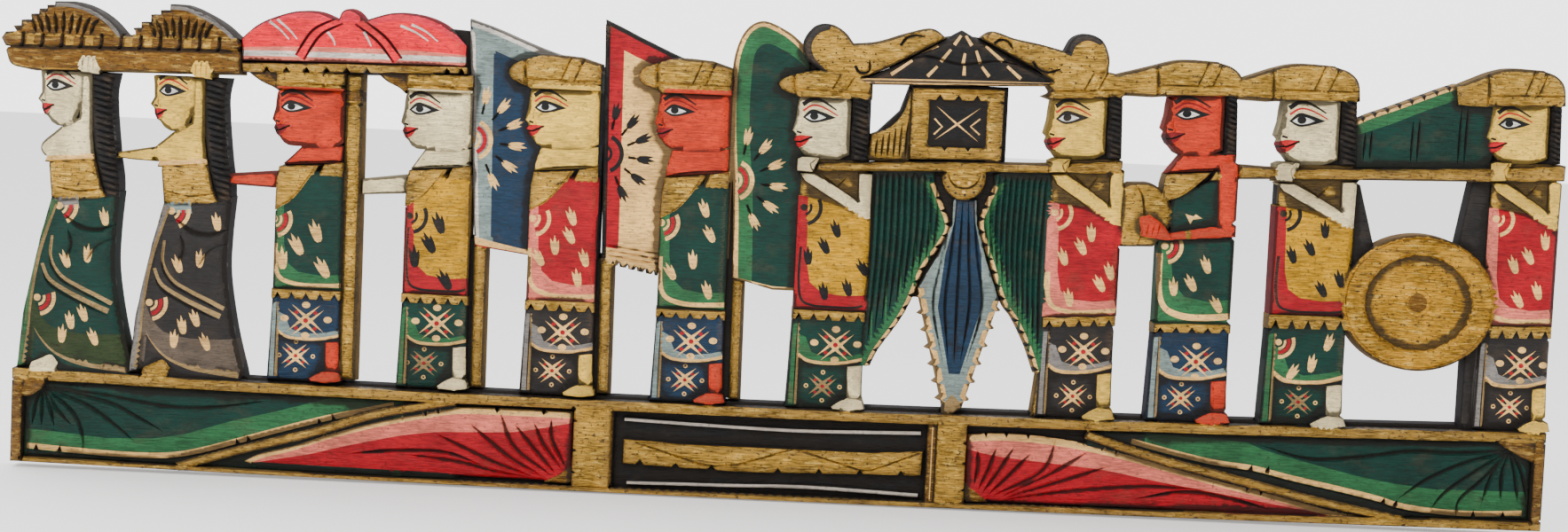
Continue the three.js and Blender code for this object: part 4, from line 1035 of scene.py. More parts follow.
def draw_offerings(relief):
    relief.form([(-494, 268), (-489, 256), (-355, 258), (-355, 274), (-370, 284), (-387, 291), (-400, 291),
        (-414, 280), (-425, 274), (-438, 284), (-455, 290), (-470, 290), (-488, 280)], 11.5, "seam", 1.2,
        0.6)
    draw_dome(relief, [(-424, 275), (-434, 285), (-446, 292), (-458, 295), (-470, 295)],
        stepped((-470, 295), (-475, 292.5), (-480, 290), (-485, 286.5), (-491, 282.5), (-496, 278.5),
        (-501, 273)), -463, 4.6)
    draw_dome(relief, [(-351, 276), (-362, 285), (-375, 292), (-386, 296), (-397, 296.5)],
        stepped((-397, 296.5), (-403, 292.5), (-409, 289.5), (-415, 284.5), (-420, 280.5), (-425, 275)),
        -389, 4.2)
    tray = relief.form([(-500, 266), *curve((-500, 262), (-496, 253), (-484, 250)), (-349.5, 253),
        (-349.5, 269)], 17.2, "bronze", 3, 2)
    tray.paint([(-498, 251), (-484, 248), (-349, 251), (-349, 253.8), (-400, 253.2), (-484, 252),
        (-494, 255)], "gold")
    rope = relief.form([(-503, 270), (-500, 274.5), (-470, 274.8), (-353, 277), (-350, 272), (-352, 267.5),
        (-500, 264.5)], 18.8, "bronze", 3.8, 3.2)
    rope.paint([(-503, 271), (-500, 276), (-353, 278.5), (-351, 274.4), (-420, 273.4), (-498, 271.6)], "gold")
    for i in range(11):
        x = -490 + i * 12.4
        z = 265 + i * 0.2
        rope.cut(curve((x, z - 0.5), (x + 2.4, z + 4), (x + 1.6, z + 10)), 2.6, 2.2, NO_END)
        if i % 3 != 1:
            rope.paint([(x + 4, z + 1.5), (x + 9, z + 2), (x + 9.5, z + 8), (x + 5, z + 8)], "gold")


def draw_umbrella(relief):
    relief.form([(-349, 258), (-322, 255), (-264, 257), (-204, 257), (-204, 288), (-240, 290), (-348, 280),
        (-353, 268)], 10.5, "seam", 1.2, 0.6)
    canopy = relief.form([(-207, 263), (-207.5, 277), *curve((-208, 279), (-217, 287.5), (-227, 293.5),
        (-240, 297), (-256, 297.3), (-273, 292)), *curve((-273, 292), (-277, 296.5), (-283, 298.8),
        (-288, 296.5), (-290, 291.5)), *curve((-290, 291.5), (-302, 295.8), (-316, 295.8), (-330, 291.5),
        (-341, 286), (-351, 277)), (-350, 262)], 17.2, "canopy_red", 3.2, 2.4)
    # Painted highlight: the tops of the canopy's domes are painted a lighter red where the light falls on
    # them
    canopy.paint([*curve((-352, 277), (-341, 283), (-330, 287.5), (-316, 290.5), (-302, 289.5),
        (-291, 286)), (-286, 290), (-276, 290), *curve((-272, 286.5), (-256, 291.5), (-240, 291),
        (-227, 287.5), (-215, 281), (-204, 275)), (-204, 300), (-352, 300)], "canopy_pink")
    canopy.paint([(-352, 270.8), *curve((-352, 270.8), (-320, 272.5), (-280, 273.5), (-240, 273.5),
        (-205, 272)), (-205, 260), (-352, 260)], "pink")
    canopy.paint(ribbon(curve((-350, 267.2), (-320, 268), (-280, 268.6), (-240, 269), (-206, 269.2)), 3.4),
        "white")
    canopy.paint([(-352, 258), (-206, 260), (-206, 265.6), (-280, 264.2), (-352, 262.8)], "dark_red")
    for path in (((-289, 290), (-303, 282), (-313, 266)), ((-276, 290), (-262, 280), (-251, 267))):
        rib = curve(*path)
        canopy.paint(ribbon(rib, 6.4), "canopy_red")
        lean = 1 if rib[-1][0] > rib[0][0] else -1
        for offset in (-2.6, 2.6):
            edge = [(x + offset, z + offset * lean * 0.5) for x, z in rib]
            canopy.paint(ribbon(edge, 1.5), "dark_red")
            canopy.cut(edge, 2.2, 1.6)
    for path in (((-333, 288), (-326, 283), (-320, 277)), ((-328, 289.5), (-320, 283), (-315, 277.5)),
            ((-296, 283), (-292, 278), (-291, 274.5)), ((-273, 284), (-270, 279), (-268, 275)),
            ((-250, 289), (-240, 285), (-232, 280)), ((-243, 290), (-234, 286), (-226, 280))):
        canopy.paint(ribbon(curve(*path), 1.7, 0.8), "white")
    canopy.cut(curve((-351, 262.3), (-320, 263), (-280, 263.8), (-207, 265)), 1.6, 1, NO_END)
    fringe = [(-350, 261.5), (-349, 255), *notched((-340, 255), (-264, 258), 6, 3, 0.3), (-225, 259.5),
              *notched((-224, 259.5), (-206, 260), 2, 3, 0.35), (-206.5, 265.2), (-280, 263.8)]
    relief.form(fringe, 18.8, "gold", 1.8, 1.4)
    relief.form([*curve((-350, 258), (-339, 250), (-330, 246), (-325, 243)), (-321, 247), (-318, 259)],
        15.4, "old_gold", 1.6, 1.2)
    relief.form([*curve((-266, 260), (-259, 253.5), (-250, 249), (-246, 245.5)), (-242, 249), (-238, 260)],
        15.4, "old_gold", 1.6, 1.2)
    post = relief.form([(-283.5, 61), (-271.3, 61), (-271.5, 150), (-272.5, 258), (-285, 258)], 14.5,
        "gold", 4.4, 3.6)
    post.paint(box(-286, 240, -271, 246), "old_gold")
    post.cut([(-285, 246.5), (-272, 246.5)], 1.8, 1.2, NO_END)
    post.cut([(-285, 238), (-272, 238)], 1.8, 1.2, NO_END)


# Flags behind the men, each on its pole

FLAG_MARKS = (78, 50, 22, -6, -34, -64)


def flag_marks(form, centre, reach, paint):
    for angle in FLAG_MARKS:
        a = math.radians(angle)
        x = centre[0] + reach * math.cos(a)
        z = centre[1] + reach * math.sin(a) * 1.12
        for stroke in petal((x + 4 * math.cos(a), z + 4 * math.sin(a)), 0.82, angle - 90):
            form.paint(stroke, paint)
        inner = (centre[0] + (reach - 7) * math.cos(a), centre[1] + (reach - 7) * 1.12 * math.sin(a))
        form.paint(ribbon([inner, ((inner[0] + x) / 2, (inner[1] + z) / 2), (x, z)], 1.8, 0.6), "seam")
        form.cut([inner, (x, z)], 2.8, 1.3)


def draw_flags(relief):
    top = curve((-207.5, 296), (-190, 290.5), (-168, 282), (-150, 276), (-119, 268.5))
    blue = relief.form([(-199.5, 152), (-207.5, 295), *top, (-119, 146), (-165, 146.5)], 12.6, "blue", 3.4,
        1.2)
    blue.paint([(-197.5, 152), (-205, 290), *[(x, z - 4.4) for x, z in top], (-119, 240), (-119, 252),
        (-150, 260), (-190, 276), (-187, 160), (-187, 150)], "light_blue")
    blue.paint([(-188.5, 158), (-191, 274.5), (-150, 259), (-119, 251), (-119, 146), (-165, 146)], "blue")
    blue.paint([(-199.5, 152), (-207.5, 296), *top, (-119, 264), *[(x, z - 4.6) for x, z in reversed(top)],
        (-203.2, 286), (-196, 158), (-196, 152)], "white")
    blue.rings((-203, 219), CREAM_RINGS, -66, 66, 1.15)
    flag_marks(blue, (-200, 219), 22, "cream")
    hem = relief.form([(-199.5, 158.5), (-199, 151), (-160, 146), (-160, 150), (-190, 156)], 13.8, "cream",
        1.4, 1)
    hem.paint([(-199, 150), (-160, 145), (-160, 147.4), (-199, 152.6)], "red")
    top = curve((-121.5, 299.5), (-110, 294.5), (-95, 287.5), (-65, 275), (-38, 269), (-36, 268.5))
    cream = relief.form([(-118, 144), *notched((-110, 142.5), (-82, 137), 5, 2.6, 0.35), (-79, 150),
        (-36, 150), *top[::-1]], 12.6, "cream", 3.4, 1.2)
    cream.paint([(-118, 144), (-122, 300), *top, (-36, 256), *curve((-36, 257), (-65, 263), (-95, 274),
        (-108.5, 280)), (-107, 160), (-108, 144)], "red")
    cream.paint([(-118, 144), (-122, 300), *top, (-36, 265), *[(x, z - 3.2) for x, z in reversed(top)],
        (-117.6, 290), (-115, 160), (-115, 144)], "black")
    cream.paint([(-118, 142), (-118, 155), (-79, 150), (-79, 136)], "cream")
    for height in (153.6, 150.4, 147.2):
        cream.cut([(-112, height + 2), (-80, height - 2)], 1.5, 1.1, NO_END)
    for i in range(7):
        x = -110 + i * 4.4
        cream.paint([(x - 1.9, 142.6 - i * 0.8), (x, 146.4 - i * 0.8), (x + 1.9, 142.2 - i * 0.8),
            (x, 139 - i * 0.8)], "black")
    cream.rings((-119, 214), BLACK_RINGS, -66, 66, 1.1)
    flag_marks(cream, (-117, 214), 21, "black")
    relief.form([(-118, 147), (-121.5, 297), (-117, 295), (-114, 147)], 13.6, "black", 1.4, 1)
    crown = curve((10, 284), (3, 291), (-6, 297.5), (-20, 303), (-30, 299), (-36.5, 288), (-39.7, 270),
        (-39.5, 235), (-36, 190), (-34, 138))
    green = relief.form([(-33, 138), (-8, 131.5), (10, 131.5), *crown], 12.6, "green", 3.4, 1.2)
    border = curve((10, 272), (2, 279), (-8, 285), (-18, 288.5), (-25, 283), (-27, 268), (-27, 235),
        (-23, 190), (-21, 134))
    green.paint([(-34, 131), *reversed(crown), (10, 286), *border], "light_green")
    green.paint(ribbon(crown, 8), "cream")
    green.paint([(-34, 131.5), (-34, 139.5), (-8, 134.5), (10, 134), (10, 130)], "cream")
    green.rings((-36, 201), CREAM_RINGS, -66, 66, 1.15)
    flag_marks(green, (-33, 201), 22, "cream")
    for start, end, top_z in ((-199.7, -190, 153), (-118.5, -109, 146), (-34, -25.5, 138)):
        relief.form([(start + 1, 60), (end + 0.5, 60), (end, top_z), (start, top_z)], 14.2, "gold", 3.8, 3)


# The palanquin between the first two bearers

SPECK_SEED = 7
SPECKS = 26


def draw_roof(relief):
    relief.form([(60, 268), (165, 272.5), (173, 290), (125, 298), (105, 300), (85, 297), (60, 278)], 10.5,
        "seam", 1.2, 0.6)
    slope = [(40, 266), *curve((43, 269.5), (52, 273), (66, 280), (82, 289), (95, 297), (105, 303))]
    roof = relief.form([*slope, (115, 297.5), (130, 290), (145, 282), (158, 277), (166, 273), (158, 269.5)],
        17.6, "black", 3.4, 2.2)
    for foot, top, low, high in ((61, 74, 272.5, 282), (75, 90, 286, 292), (84, 90, 272.5, 279),
            (92, 98, 282, 290), (107, 107, 274, 280), (106, 107, 281, 288), (123, 118, 274, 280),
            (117, 114, 282, 290), (143, 134, 273.5, 281), (131, 120, 284, 293), (100, 104, 293, 299),
            (111, 107, 293, 299)):
        roof.paint(ribbon([(foot, low), ((foot + top) / 2, (low + high) / 2), (top, high)], 2.2, 1.6),
            "cream")
    roof.cut(curve((46, 271), (66, 281.5), (84, 285), (105, 281), (128, 284), (150, 280)), 2.2, 1.4)
    eaves = relief.form([(40, 265.5), (100, 267), (160, 269.5), (165, 272.5), (100, 271.5), (43, 270)],
        18.9, "cream", 1.4, 1.1)
    eaves.paint(ribbon([(41, 267.8), (100, 269.2), (162, 271)], 1), "black")
    left = [*curve((16, 273), (6, 281), (5, 292), (12, 301.5), (22, 303), (31, 298.5), (37, 291.5)),
            *curve((37, 291.5), (52, 293.5), (70, 299.5), (86, 303.2), (96, 297)),
            *curve((96, 297), (80, 288), (62, 278), (46, 270)), (36, 266.5), (24, 270)]
    right = [*curve((115, 298), (124, 303.2), (138, 299.5), (155, 296.5), (170, 293)),
        *curve((170, 293), (175, 301.5), (184, 304.4), (194, 300.5), (199, 290), (199, 280)), (190, 276),
        (178, 271), (165, 271.5), (150, 281)]
    left_shade = [*curve((18, 270), (4, 281), (3, 292), (11, 303), (22, 304)),
                  *curve((21, 299), (14, 296), (10, 289), (12, 281), (20, 273))]
    right_shade = [(170, 291), *curve((170, 293), (175, 302), (184, 305), (195, 301)),
                   *curve((192, 297), (184, 299.5), (177, 296), (174, 289))]
    left_curls = (((38, 277), (41, 273), (47, 274), (47, 281)), ((66, 291), (70, 296), (76, 298), (81, 297)))
    right_curls = (((125, 295), (129, 297.5), (134, 296.5), (137, 292)),
                   ((150, 285), (154, 280), (161, 278.5), (168, 281)))
    scrolls = []
    for outline, shade, curls in ((left, left_shade, left_curls), (right, right_shade, right_curls)):
        scroll = relief.form(outline, 18.2, "gold", 3.8, 2.6)
        scroll.paint(shade, "charcoal")
        for curl in curls:
            scroll.paint(ribbon(curve(*curl), 2, 0.8), "seam")
            scroll.cut(curve(*curl), 3.4, 2.2)
        scrolls.append(scroll)
    speckle = np.random.default_rng(SPECK_SEED)
    for scroll, (x0, z0, x1, z1) in zip(scrolls, ((14, 275, 60, 296), (140, 276, 190, 296))):
        for _ in range(SPECKS):
            x = speckle.uniform(x0, x1)
            z = speckle.uniform(z0, z1)
            scroll.paint(arc((x, z), (0.65, 0.5), 0, 300, 0.9), "seam")


def draw_cabin(relief):
    relief.form([(52, 218), (137, 218), (137, 268), (74, 268), (68, 250), (54, 236)], 10.5, "seam", 1.2, 0.6)
    cabin = relief.form([(74.5, 219), (134, 219), (134, 268), (75, 268)], 14.4, "black", 1.4, 1)
    for a, b in (((90, 232), (119, 254)), ((90, 254), (119, 232))):
        a, b = np.array(a, float), np.array(b, float)
        cabin.paint([tuple(a + 0.4), tuple((a + b) / 2 + [1.1, 0]), tuple(b),
            tuple((a + b) / 2 - [1.1, 0])], "cream")
    cabin.paint(ribbon([(90, 246), (95, 241), (90, 236)], 1.1), "cream")
    cabin.paint(ribbon([(119, 247), (113, 242), (119, 237)], 1.1), "cream")
    for x0, x1 in ((74.5, 87), (122.5, 134)):
        relief.form(box(x0, 219, x1, 264), 16.2, "gold", 2.2, 1.4)
    valance = relief.form([*notched((75, 257), (134, 258), 5, 3, 0.35), (134, 266.5), (75, 265.5)], 17.2,
        "gold", 1.6, 1.2)
    valance.cut([(76, 262.5), (133, 263.5)], 1.3, 0.7, NO_END)
    relief.form([(75, 219), (134, 221), *notched((134, 229.5), (75, 228.5), 4, 2.2, 0.2)], 17.2, "gold",
        1.6, 1.2)
    comb = relief.form([(48, 217), (76, 217), (76, 265), *curve((73, 262), (70, 250), (62, 240),
        (50, 234.5))], 14, "gold", 2.2, 1.4)
    for i in range(6):
        comb.cut([(53.5 + i * 3.8, 220), (54.5 + i * 3.8, 232 + i * 2.4)], 1.8, 1.5)


HEM_STEP = 1.8


def draw_curtains(relief):
    relief.form([(80, 131), (139, 133), (131, 215), (90, 213)], 10.8, "seam", 1.2, 0.6)
    relief.form([(48, 90), (56, 90), (72, 116), (82, 134), (91, 160), (91, 214), (48, 214)], 10.8, "seam",
        1.2, 0.6)
    relief.form([(166, 90), (162, 90), (148, 121), (138, 136), (130, 160), (130, 214), (168, 214)], 10.8,
        "seam", 1.2, 0.6)
    left_hem = curve((57, 86), (62, 97), (74, 115), (81, 128.5), (89, 150), (99, 166), (104, 178), (98, 194),
                     (93, 205), step=HEM_STEP)
    right_hem = curve((161.5, 86), (155, 103), (146, 120), (138, 131), (129, 155), (121, 178), (123, 190),
                      (129, 205), step=HEM_STEP)
    for hem, sign, far, back in ((left_hem, -1, 50, (93, 216)), (right_hem, 1, 168, (129, 216))):
        curtain = relief.form([(far, hem[0][1] - 1), *hem, back, (far, 216)], 14.6, "green", 2.6, 2)
        zone = [(x + sign * (6.5 + 3 * (i % 2)), z + 1 + 2 * (i % 2)) for i, (x, z) in enumerate(hem)]
        curtain.paint(hem + zone[::-1], "light_green")
        curtain.paint(ribbon([(x + sign * 1.8, z) for x, z in hem], 4), "cream")
        for i in range(2, len(hem) - 2, 5):
            x, z = hem[i]
            curtain.paint([(x + sign * 0.1, z - 1.9), (x + sign * 4.6, z), (x + sign * 0.1, z + 1.9)], "seam")
            curtain.cut([(x + sign * 0.1, z), (x + sign * 4.6, z)], 2.6, 1.6, LAST_END)
        for i in range(11):
            top_x = (94 - 4 * i) if sign < 0 else (126 + 3.7 * i)
            low_x = (93 - 4.3 * i) if sign < 0 else (128 + 3.5 * i)
            low_z = 160 - 6.4 * i
            foot = (low_x, max(low_z, 96))
            middle = ((top_x + low_x) / 2 - sign * 1.5, (209 + foot[1]) / 2)
            curtain.cut(curve((top_x, 208), middle, foot), 2.5, 1.6, LAST_END)
            if i % 2:
                stroke = curve((foot[0] - sign * 1.6, foot[1] + 26), (foot[0] - sign * 2, foot[1] + 12),
                    (foot[0] - sign * 2.4, foot[1] - 2))
                curtain.paint(ribbon(stroke, 0.5, 1.7), "light_green")
    relief.form([(160, 58), (170, 58), (170, 216), (163, 216), (163.5, 90)], 13.5, "gold", 2, 1.4)
    left_edge = notched((104, 62), (84, 138), 7, 3.4, 0.3)
    right_edge = notched((137.5, 132), (117, 62), 6, 3.4, 0.3)
    pendant = relief.form([*right_edge, (110, 57), (103, 57), *left_edge, (96, 160), (104, 180), (104, 196),
        (120, 196), (121, 180), (128, 158)], 15.8, "light_blue", 2.4, 1.6)
    pendant.paint([(107, 84), (98, 126), (101, 160), (106, 182), (106, 198), (118, 198), (119, 182),
        (124, 160), (126, 128), (114, 84)], "blue")
    inner_left = [(x + 4.4, z) for x, z in left_edge]
    pendant.paint([(103, 57), *left_edge, *inner_left[::-1]], "cream")
    inner_right = [(x - 4.4, z) for x, z in right_edge]
    pendant.paint([*right_edge, (110, 57), *inner_right[::-1]], "cream")
    pendant.paint([(103, 57), (104, 64), (110, 71), (117, 64), (117, 57)], "tan")
    for x0, x1 in ((104, 95), (107, 102.5), (110.5, 110), (114, 118), (117, 126)):
        pendant.cut(curve((x0, 196), ((x0 + x1) / 2, 160), (x1, 128), ((x1 - 110) * 0.5 + 110, 92)), 2.4, 1.6)
    medallion = relief.form([*arc((110.5, 210), (14.5, 15.5), 180, 360), (125, 216), (96, 216)], 17.6,
        "gold", 3.2, 2.2)
    medallion.cut(arc((110.5, 212), (10, 9.4), 175, 365, 1.6), 1.6, 1.2)
    for angle in range(190, 360, 28):
        a = math.radians(angle)
        medallion.paint(dot((110.5 + 12.4 * math.cos(a), 211 + 12.6 * math.sin(a)), 0.9), "seam")
    for x, z in ((107, 206), (114, 206), (110.5, 200.5)):
        medallion.paint(dot((x, z), 1.3), "cream")


def draw_poles(relief):
    for lower, upper in ((((16, 209), (100, 212.3), (160, 214.2), (211, 216)),
            ((211, 225), (160, 221), (100, 219.5), (16, 214.7))),
            (((284, 216), (330, 218), (440, 221.5), (491, 224)), ((491.5, 235), (440, 231), (330, 225.5),
            (284, 226)))):
        relief.form([*curve(*lower, step=6), *curve(*upper, step=6)], 19.3, "gold", 3.2, 2.8)


def draw_gong_and_drum(relief):
    centre = (403, 143)
    gong = relief.form(arc(centre, (49.5, 44), 0, 354), 14.6, "bright_gold", 1.2, 0.6)
    gong.paint(dot(centre, 6), "bronze")
    for start, level in ((-4, 18.3), (176, 18.2)):
        end = start + 188
        half_ring = arc(centre, (49.5, 44), start, end) + arc(centre, (33, 29.5), end, start)
        rim = relief.form(half_ring, level, "bright_gold", 3.4, 1.9)
        boss = arc(centre, (9.4, 9), start, end, 1.4) + arc(centre, (6, 6), end, start, 1.4)
        relief.form(boss, level - 2.7, "bright_gold", 1.2, 0.8)
        rim.cut(arc(centre, (46.5, 41.2), start + 4, start + 184), 1, 0.5, NO_END)
    relief.form([(357, 217), (363, 217), (374, 178), (368, 162), (357, 160)], 12.4, "charcoal", 1.6, 1)
    relief.form([(433, 222), (446, 224), (446, 160), (426, 180)], 12.4, "charcoal", 1.6, 1)
    strap = relief.form([(435, 60), (446, 60), (446, 124), (435, 112)], 12.4, "charcoal", 1.6, 1)
    strap.paint(ribbon([(443.4, 62), (442.5, 90), (444, 120)], 1.8), "grey")
    edge = curve((356, 257), (365, 261.5), (380, 267.3), (395, 273.5), (410, 279.7), (420, 283.5))
    banner = relief.form([(356, 226), *edge, (446, 283), (446, 228)], 13.4, "green", 2.2, 1.2)
    banner.paint([*edge, (446, 284), (446, 277), (420, 273), (400, 265), (380, 256), (356, 247)],
        "light_green")
    banner.paint(ribbon([(x + 0.6, z - 1.6) for x, z in edge], 3.2), "cream")
    for i in range(3, len(edge) - 2, 4):
        x, z = edge[i]
        banner.paint([(x - 1.4, z + 0.6), (x + 0.8, z - 3.8), (x + 2, z + 1.6)], "seam")
    for x in (363, 367, 393, 397, 423, 427):
        banner.cut([(x, 232), (x + 0.5, 249 + (x - 360) * 0.3)], 1.7, 1.3)
    drum = relief.form([*arc((226, 191), (18, 21), -60, 90), (216, 211.5), (210, 209), (210, 169.5),
        (233, 170.5)], 16.2, "gold", 3.6, 2.4)
    drum.cut(curve((222, 171), (225.5, 181), (226, 191), (224, 203), (219, 211)), 1.8, 1.2)


def draw_arms(relief):
    relief.form([(-428, 197), (-420, 196), (-404, 195.5), (-402, 206), (-415, 203.5), (-428, 201)], 14.4,
        "yellow_skin", 2.8, 2)
    relief.form([(-356, 183), (-325, 182), (-322, 194), (-356, 190.5)], 14.4, "red_skin", 3.2, 2.4)
    relief.form([(-272, 180.5), (-243, 182.5), (-240, 195.5), (-272, 191)], 14.4, "white_skin", 3.2, 2.4)
    relief.form([(272.5, 180), (285, 178.5), (285, 226), (280, 229), (271, 229)], 18.2, "red_skin", 3.4, 2.6)
    arm = relief.form([(224, 177), (240, 175), (285, 179), (285, 187.5), (268, 186), (243, 181),
        *curve((243, 181), (236, 188), (229, 192)), (222, 190)], 19.2, "red_skin", 2.8, 2.2)
    arm.paint([(252, 184), (253, 176), (256, 176.4), (255.5, 184)], "gold")
    for x in (227.5, 231, 234.5):
        arm.cut([(x, 178.5), (x + 1.5, 186)], 1.2, 0.9)


def draw_grounds(relief):
    patches = [box(x, 60, x + 9, top) for x, top in ((-204, 158), (-124, 150), (-41, 200))]
    patches += [
        [(-302, 192), (-283, 192), (-283, 204), (-302, 201)], [(-221, 193), (-202, 193), (-202, 204),
            (-221, 201)],
        box(258, 206, 278, 222), [(-2, 262), (44, 266), (44, 284), (8, 284)],
        box(352, 212, 363, 223), box(440, 222, 455, 246),
        box(70, 214, 86, 226),
    ]
    for patch in patches:
        relief.form(patch, 10, "seam", 1, 0.5)


def draw_everything(relief):
    draw_grounds(relief)
    draw_base(relief)
    for look in WOMEN:
        draw_woman(relief, look)
    draw_offerings(relief)
    draw_umbrella(relief)
    draw_flags(relief)
    draw_roof(relief)
    draw_cabin(relief)
    draw_curtains(relief)
    draw_poles(relief)
    draw_gong_and_drum(relief)
    for figure in FIGURES:
        (draw_bearer if figure.get("bearer") else draw_man)(relief, figure)
    draw_arms(relief)


# The mesh

BACK_STEP = 24.0
BACK_MERGE = 1e-5
SHARP_ANGLE = math.radians(40)

# A face is steep from this slope and height on. A steep face that comes down this low is part of the wall.
SIDE_SLOPE = 1.4
SIDE_SPAN = 1.2
WALL_FOOT = 9

# Steep faces keep this much of their paint and leaf, over this much of the wall's own colour
SIDE_PAINT = "side"
PAINT_KEPT = 0.28
LEAF_KEPT = 0.25
WALL_SHARE = 0.55

# Heights from which the surface is uneven, and that it never passes
WORKED_FROM = 2
HIGHEST = 19.95

CARVING_SLOT = 0
BACK_SLOT = 1
WALL_SLOT = 2


def daylight(colour):
    """A colour as seen in daylight, as the linear values that a shader takes."""
    return [c / 12.92 if c <= 0.04045 else ((c + 0.055) / 1.055) ** 2.4 for c in colour]


def painted(relief, centroids, owner):
    """The name of the paint at each triangle's middle."""
    names = np.array([relief.forms[i].ground if i >= 0 else SIDE_PAINT for i in owner], dtype=object)
    for i, form in enumerate(relief.forms):
        mine = (owner == i).nonzero()[0]
        if len(mine) == 0:
            continue
        for outline, paint in form.patches:
            at = centroids[mine]
            near = mine[np.all((at >= outline.min(0)) & (at <= outline.max(0)), axis=1)]
            if len(near):
                names[near[signed_distance(centroids[near], outline) > 0]] = paint
    return names


def boundary_edges(faces):
    """Edges that belong to one triangle only, in its winding."""
    edges = np.vstack([faces[:, [0, 1]], faces[:, [1, 2]], faces[:, [2, 0]]])
    ordered = np.sort(edges, axis=1)
    _, first, count = np.unique(ordered, axis=0, return_index=True, return_counts=True)
    return edges[first[count == 1]]


def flat_back(relief, points, rim):
    """Triangles that close the back, on the rim's own points and a coarse grid between them."""
    used = np.unique(rim)
    number = {old: new for new, old in enumerate(used)}
    edges = [(number[a], number[b]) for a, b in rim]
    low = points.min(0)
    high = points.max(0)
    columns = np.arange(low[0], high[0], BACK_STEP)
    grid = np.array([(x, z) for z in np.arange(low[1], high[1], BACK_STEP) for x in columns])
    deep = [g for g, i in zip(grid, relief.surface(grid)[1]) if i >= 0]
    gap = np.array([np.hypot(*(points[used] - g).T).min() for g in deep])
    deep = np.array(deep)[gap > BACK_STEP / 3]
    everything = [Vector(p) for p in np.vstack([points[used], deep])]
    verts, _, faces, origin, _, _ = delaunay_2d_cdt(everything, edges, [], 0, BACK_MERGE)
    centroids = np.array([np.mean([verts[i] for i in face], axis=0) for face in faces])
    inside = relief.surface(centroids)[1] >= 0
    index = []
    added = []
    for vert, sources in zip(verts, origin):
        known = [s for s in sources if s < len(used)]
        if known:
            index.append(int(used[known[0]]))
        else:
            index.append(len(points) + len(added))
            added.append(tuple(vert))
    kept = [[index[i] for i in face][::-1] for face, keep in zip(faces, inside) if keep]
    return np.array(added), np.array(kept)


def undulation(points):
    """The slight unevenness of a surface worked by hand."""
    x, z = points.T
    broad = np.sin(x * 0.31 + 2 * np.sin(z * 0.11)) * np.sin(z * 0.37 + 1.5 * np.sin(x * 0.07))
    return 0.09 * broad + 0.05 * np.sin(x * 0.83 + z * 0.29)


def tones_and_leaf(names, steep, low, colours):
    """The colour of each face and how much of it is gold leaf. Steep faces are darker."""
    tones = np.array([colours[name] for name in names])
    dark = steep & ((names != "bright_gold") | low)
    tones[dark] = tones[dark] * PAINT_KEPT + np.array(colours[SIDE_PAINT]) * WALL_SHARE
    leaf = np.array([GILT.get(name, 0.0) for name in names])
    leaf[steep] *= LEAF_KEPT
    return tones, leaf


def set_attribute(mesh, name, domain, values):
    """Gives the mesh one value, or one colour, for each point or face."""
    kind, field = ("FLOAT_COLOR", "color") if values.ndim == 2 else ("FLOAT", "value")
    mesh.attributes.new(name, kind, domain).data.foreach_set(field, values.astype(np.float32).ravel())


def build_relief_mesh(wall, step, spacing, colours):
    relief = Relief(wall, step)
    draw_everything(relief)
    relief.settle()
    points, faces = triangulate(relief, spacing)
    centroids = points[faces].mean(1)
    _, owner = relief.surface(centroids)
    kept = owner >= 0
    faces, centroids, owner = faces[kept], centroids[kept], owner[kept]
    used = np.unique(faces)
    number = np.full(len(points), -1)
    number[used] = np.arange(len(used))
    points, faces = points[used], number[faces]

    top, on = relief.surface(points)
    height = top - relief.cut_depth(points, on)
    uneven = np.minimum(height + undulation(points), HIGHEST)
    height = np.where(height > WORKED_FROM, uneven, np.maximum(height, 0))
    rim = boundary_edges(faces)
    height[np.unique(rim)] = 0
    added, back = flat_back(relief, points, rim)

    flat = np.vstack([points, added]) if len(added) else points
    depth = np.concatenate([height, np.zeros(len(added))])
    coords = np.stack([flat[:, 0], -depth, flat[:, 1] - ORIGIN_HEIGHT], 1) * MM
    mesh = bpy.data.meshes.new("carved_relief")
    mesh.from_pydata(coords.tolist(), [], faces.tolist() + back.tolist())

    corner = np.stack([points[faces][..., 0], height[faces], points[faces][..., 1]], 2)
    normal = np.cross(corner[:, 1] - corner[:, 0], corner[:, 2] - corner[:, 0])
    slope = np.hypot(normal[:, 0], normal[:, 2]) / np.maximum(np.abs(normal[:, 1]), SMALL)
    steep = (slope > SIDE_SLOPE) & (np.ptp(corner[..., 1], axis=1) > SIDE_SPAN)
    low = np.abs(corner[..., 1]).min(axis=1) < WALL_FOOT
    tones, leaf = tones_and_leaf(painted(relief, centroids, owner), steep, low, colours)
    tones = np.vstack([tones, np.array([colours[SIDE_PAINT]] * len(back))])
    set_attribute(mesh, "paint", "FACE", np.hstack([tones, np.ones((len(tones), 1))]))
    set_attribute(mesh, "gilt", "FACE", np.concatenate([leaf, np.zeros(len(back))]))
    set_attribute(mesh, "hollow", "POINT", np.concatenate([hollow_map(relief, points), np.zeros(len(added))]))
    slots = np.concatenate([np.where(steep & low, WALL_SLOT, CARVING_SLOT), np.full(len(back), BACK_SLOT)])
    mesh.polygons.foreach_set("material_index", slots.astype(np.int32))
    mesh.polygons.foreach_set("use_smooth", np.array([True] * len(faces) + [False] * len(back)))
    mesh.set_sharp_from_angle(angle=SHARP_ANGLE)
    mesh.validate()
    mesh.update()
    return mesh


# Materials. Lengths in them are millimetres, and places on the object are metres.

PER_METRE = 1000

# Linear colours of what age leaves on the carving, of the painted highlights on the leaf and of the painted
# shade in its hollows
OLD_VARNISH = (0.085, 0.055, 0.03, 1)
# Colour of the painted highlights flecked over the leaf
PAINTED_GLINT_COLOUR = (0.90, 0.60, 0.14, 1)
LOST_LEAF = (0.040, 0.022, 0.009, 1)
RUBBED_WOOD = (0.15, 0.09, 0.045, 1)
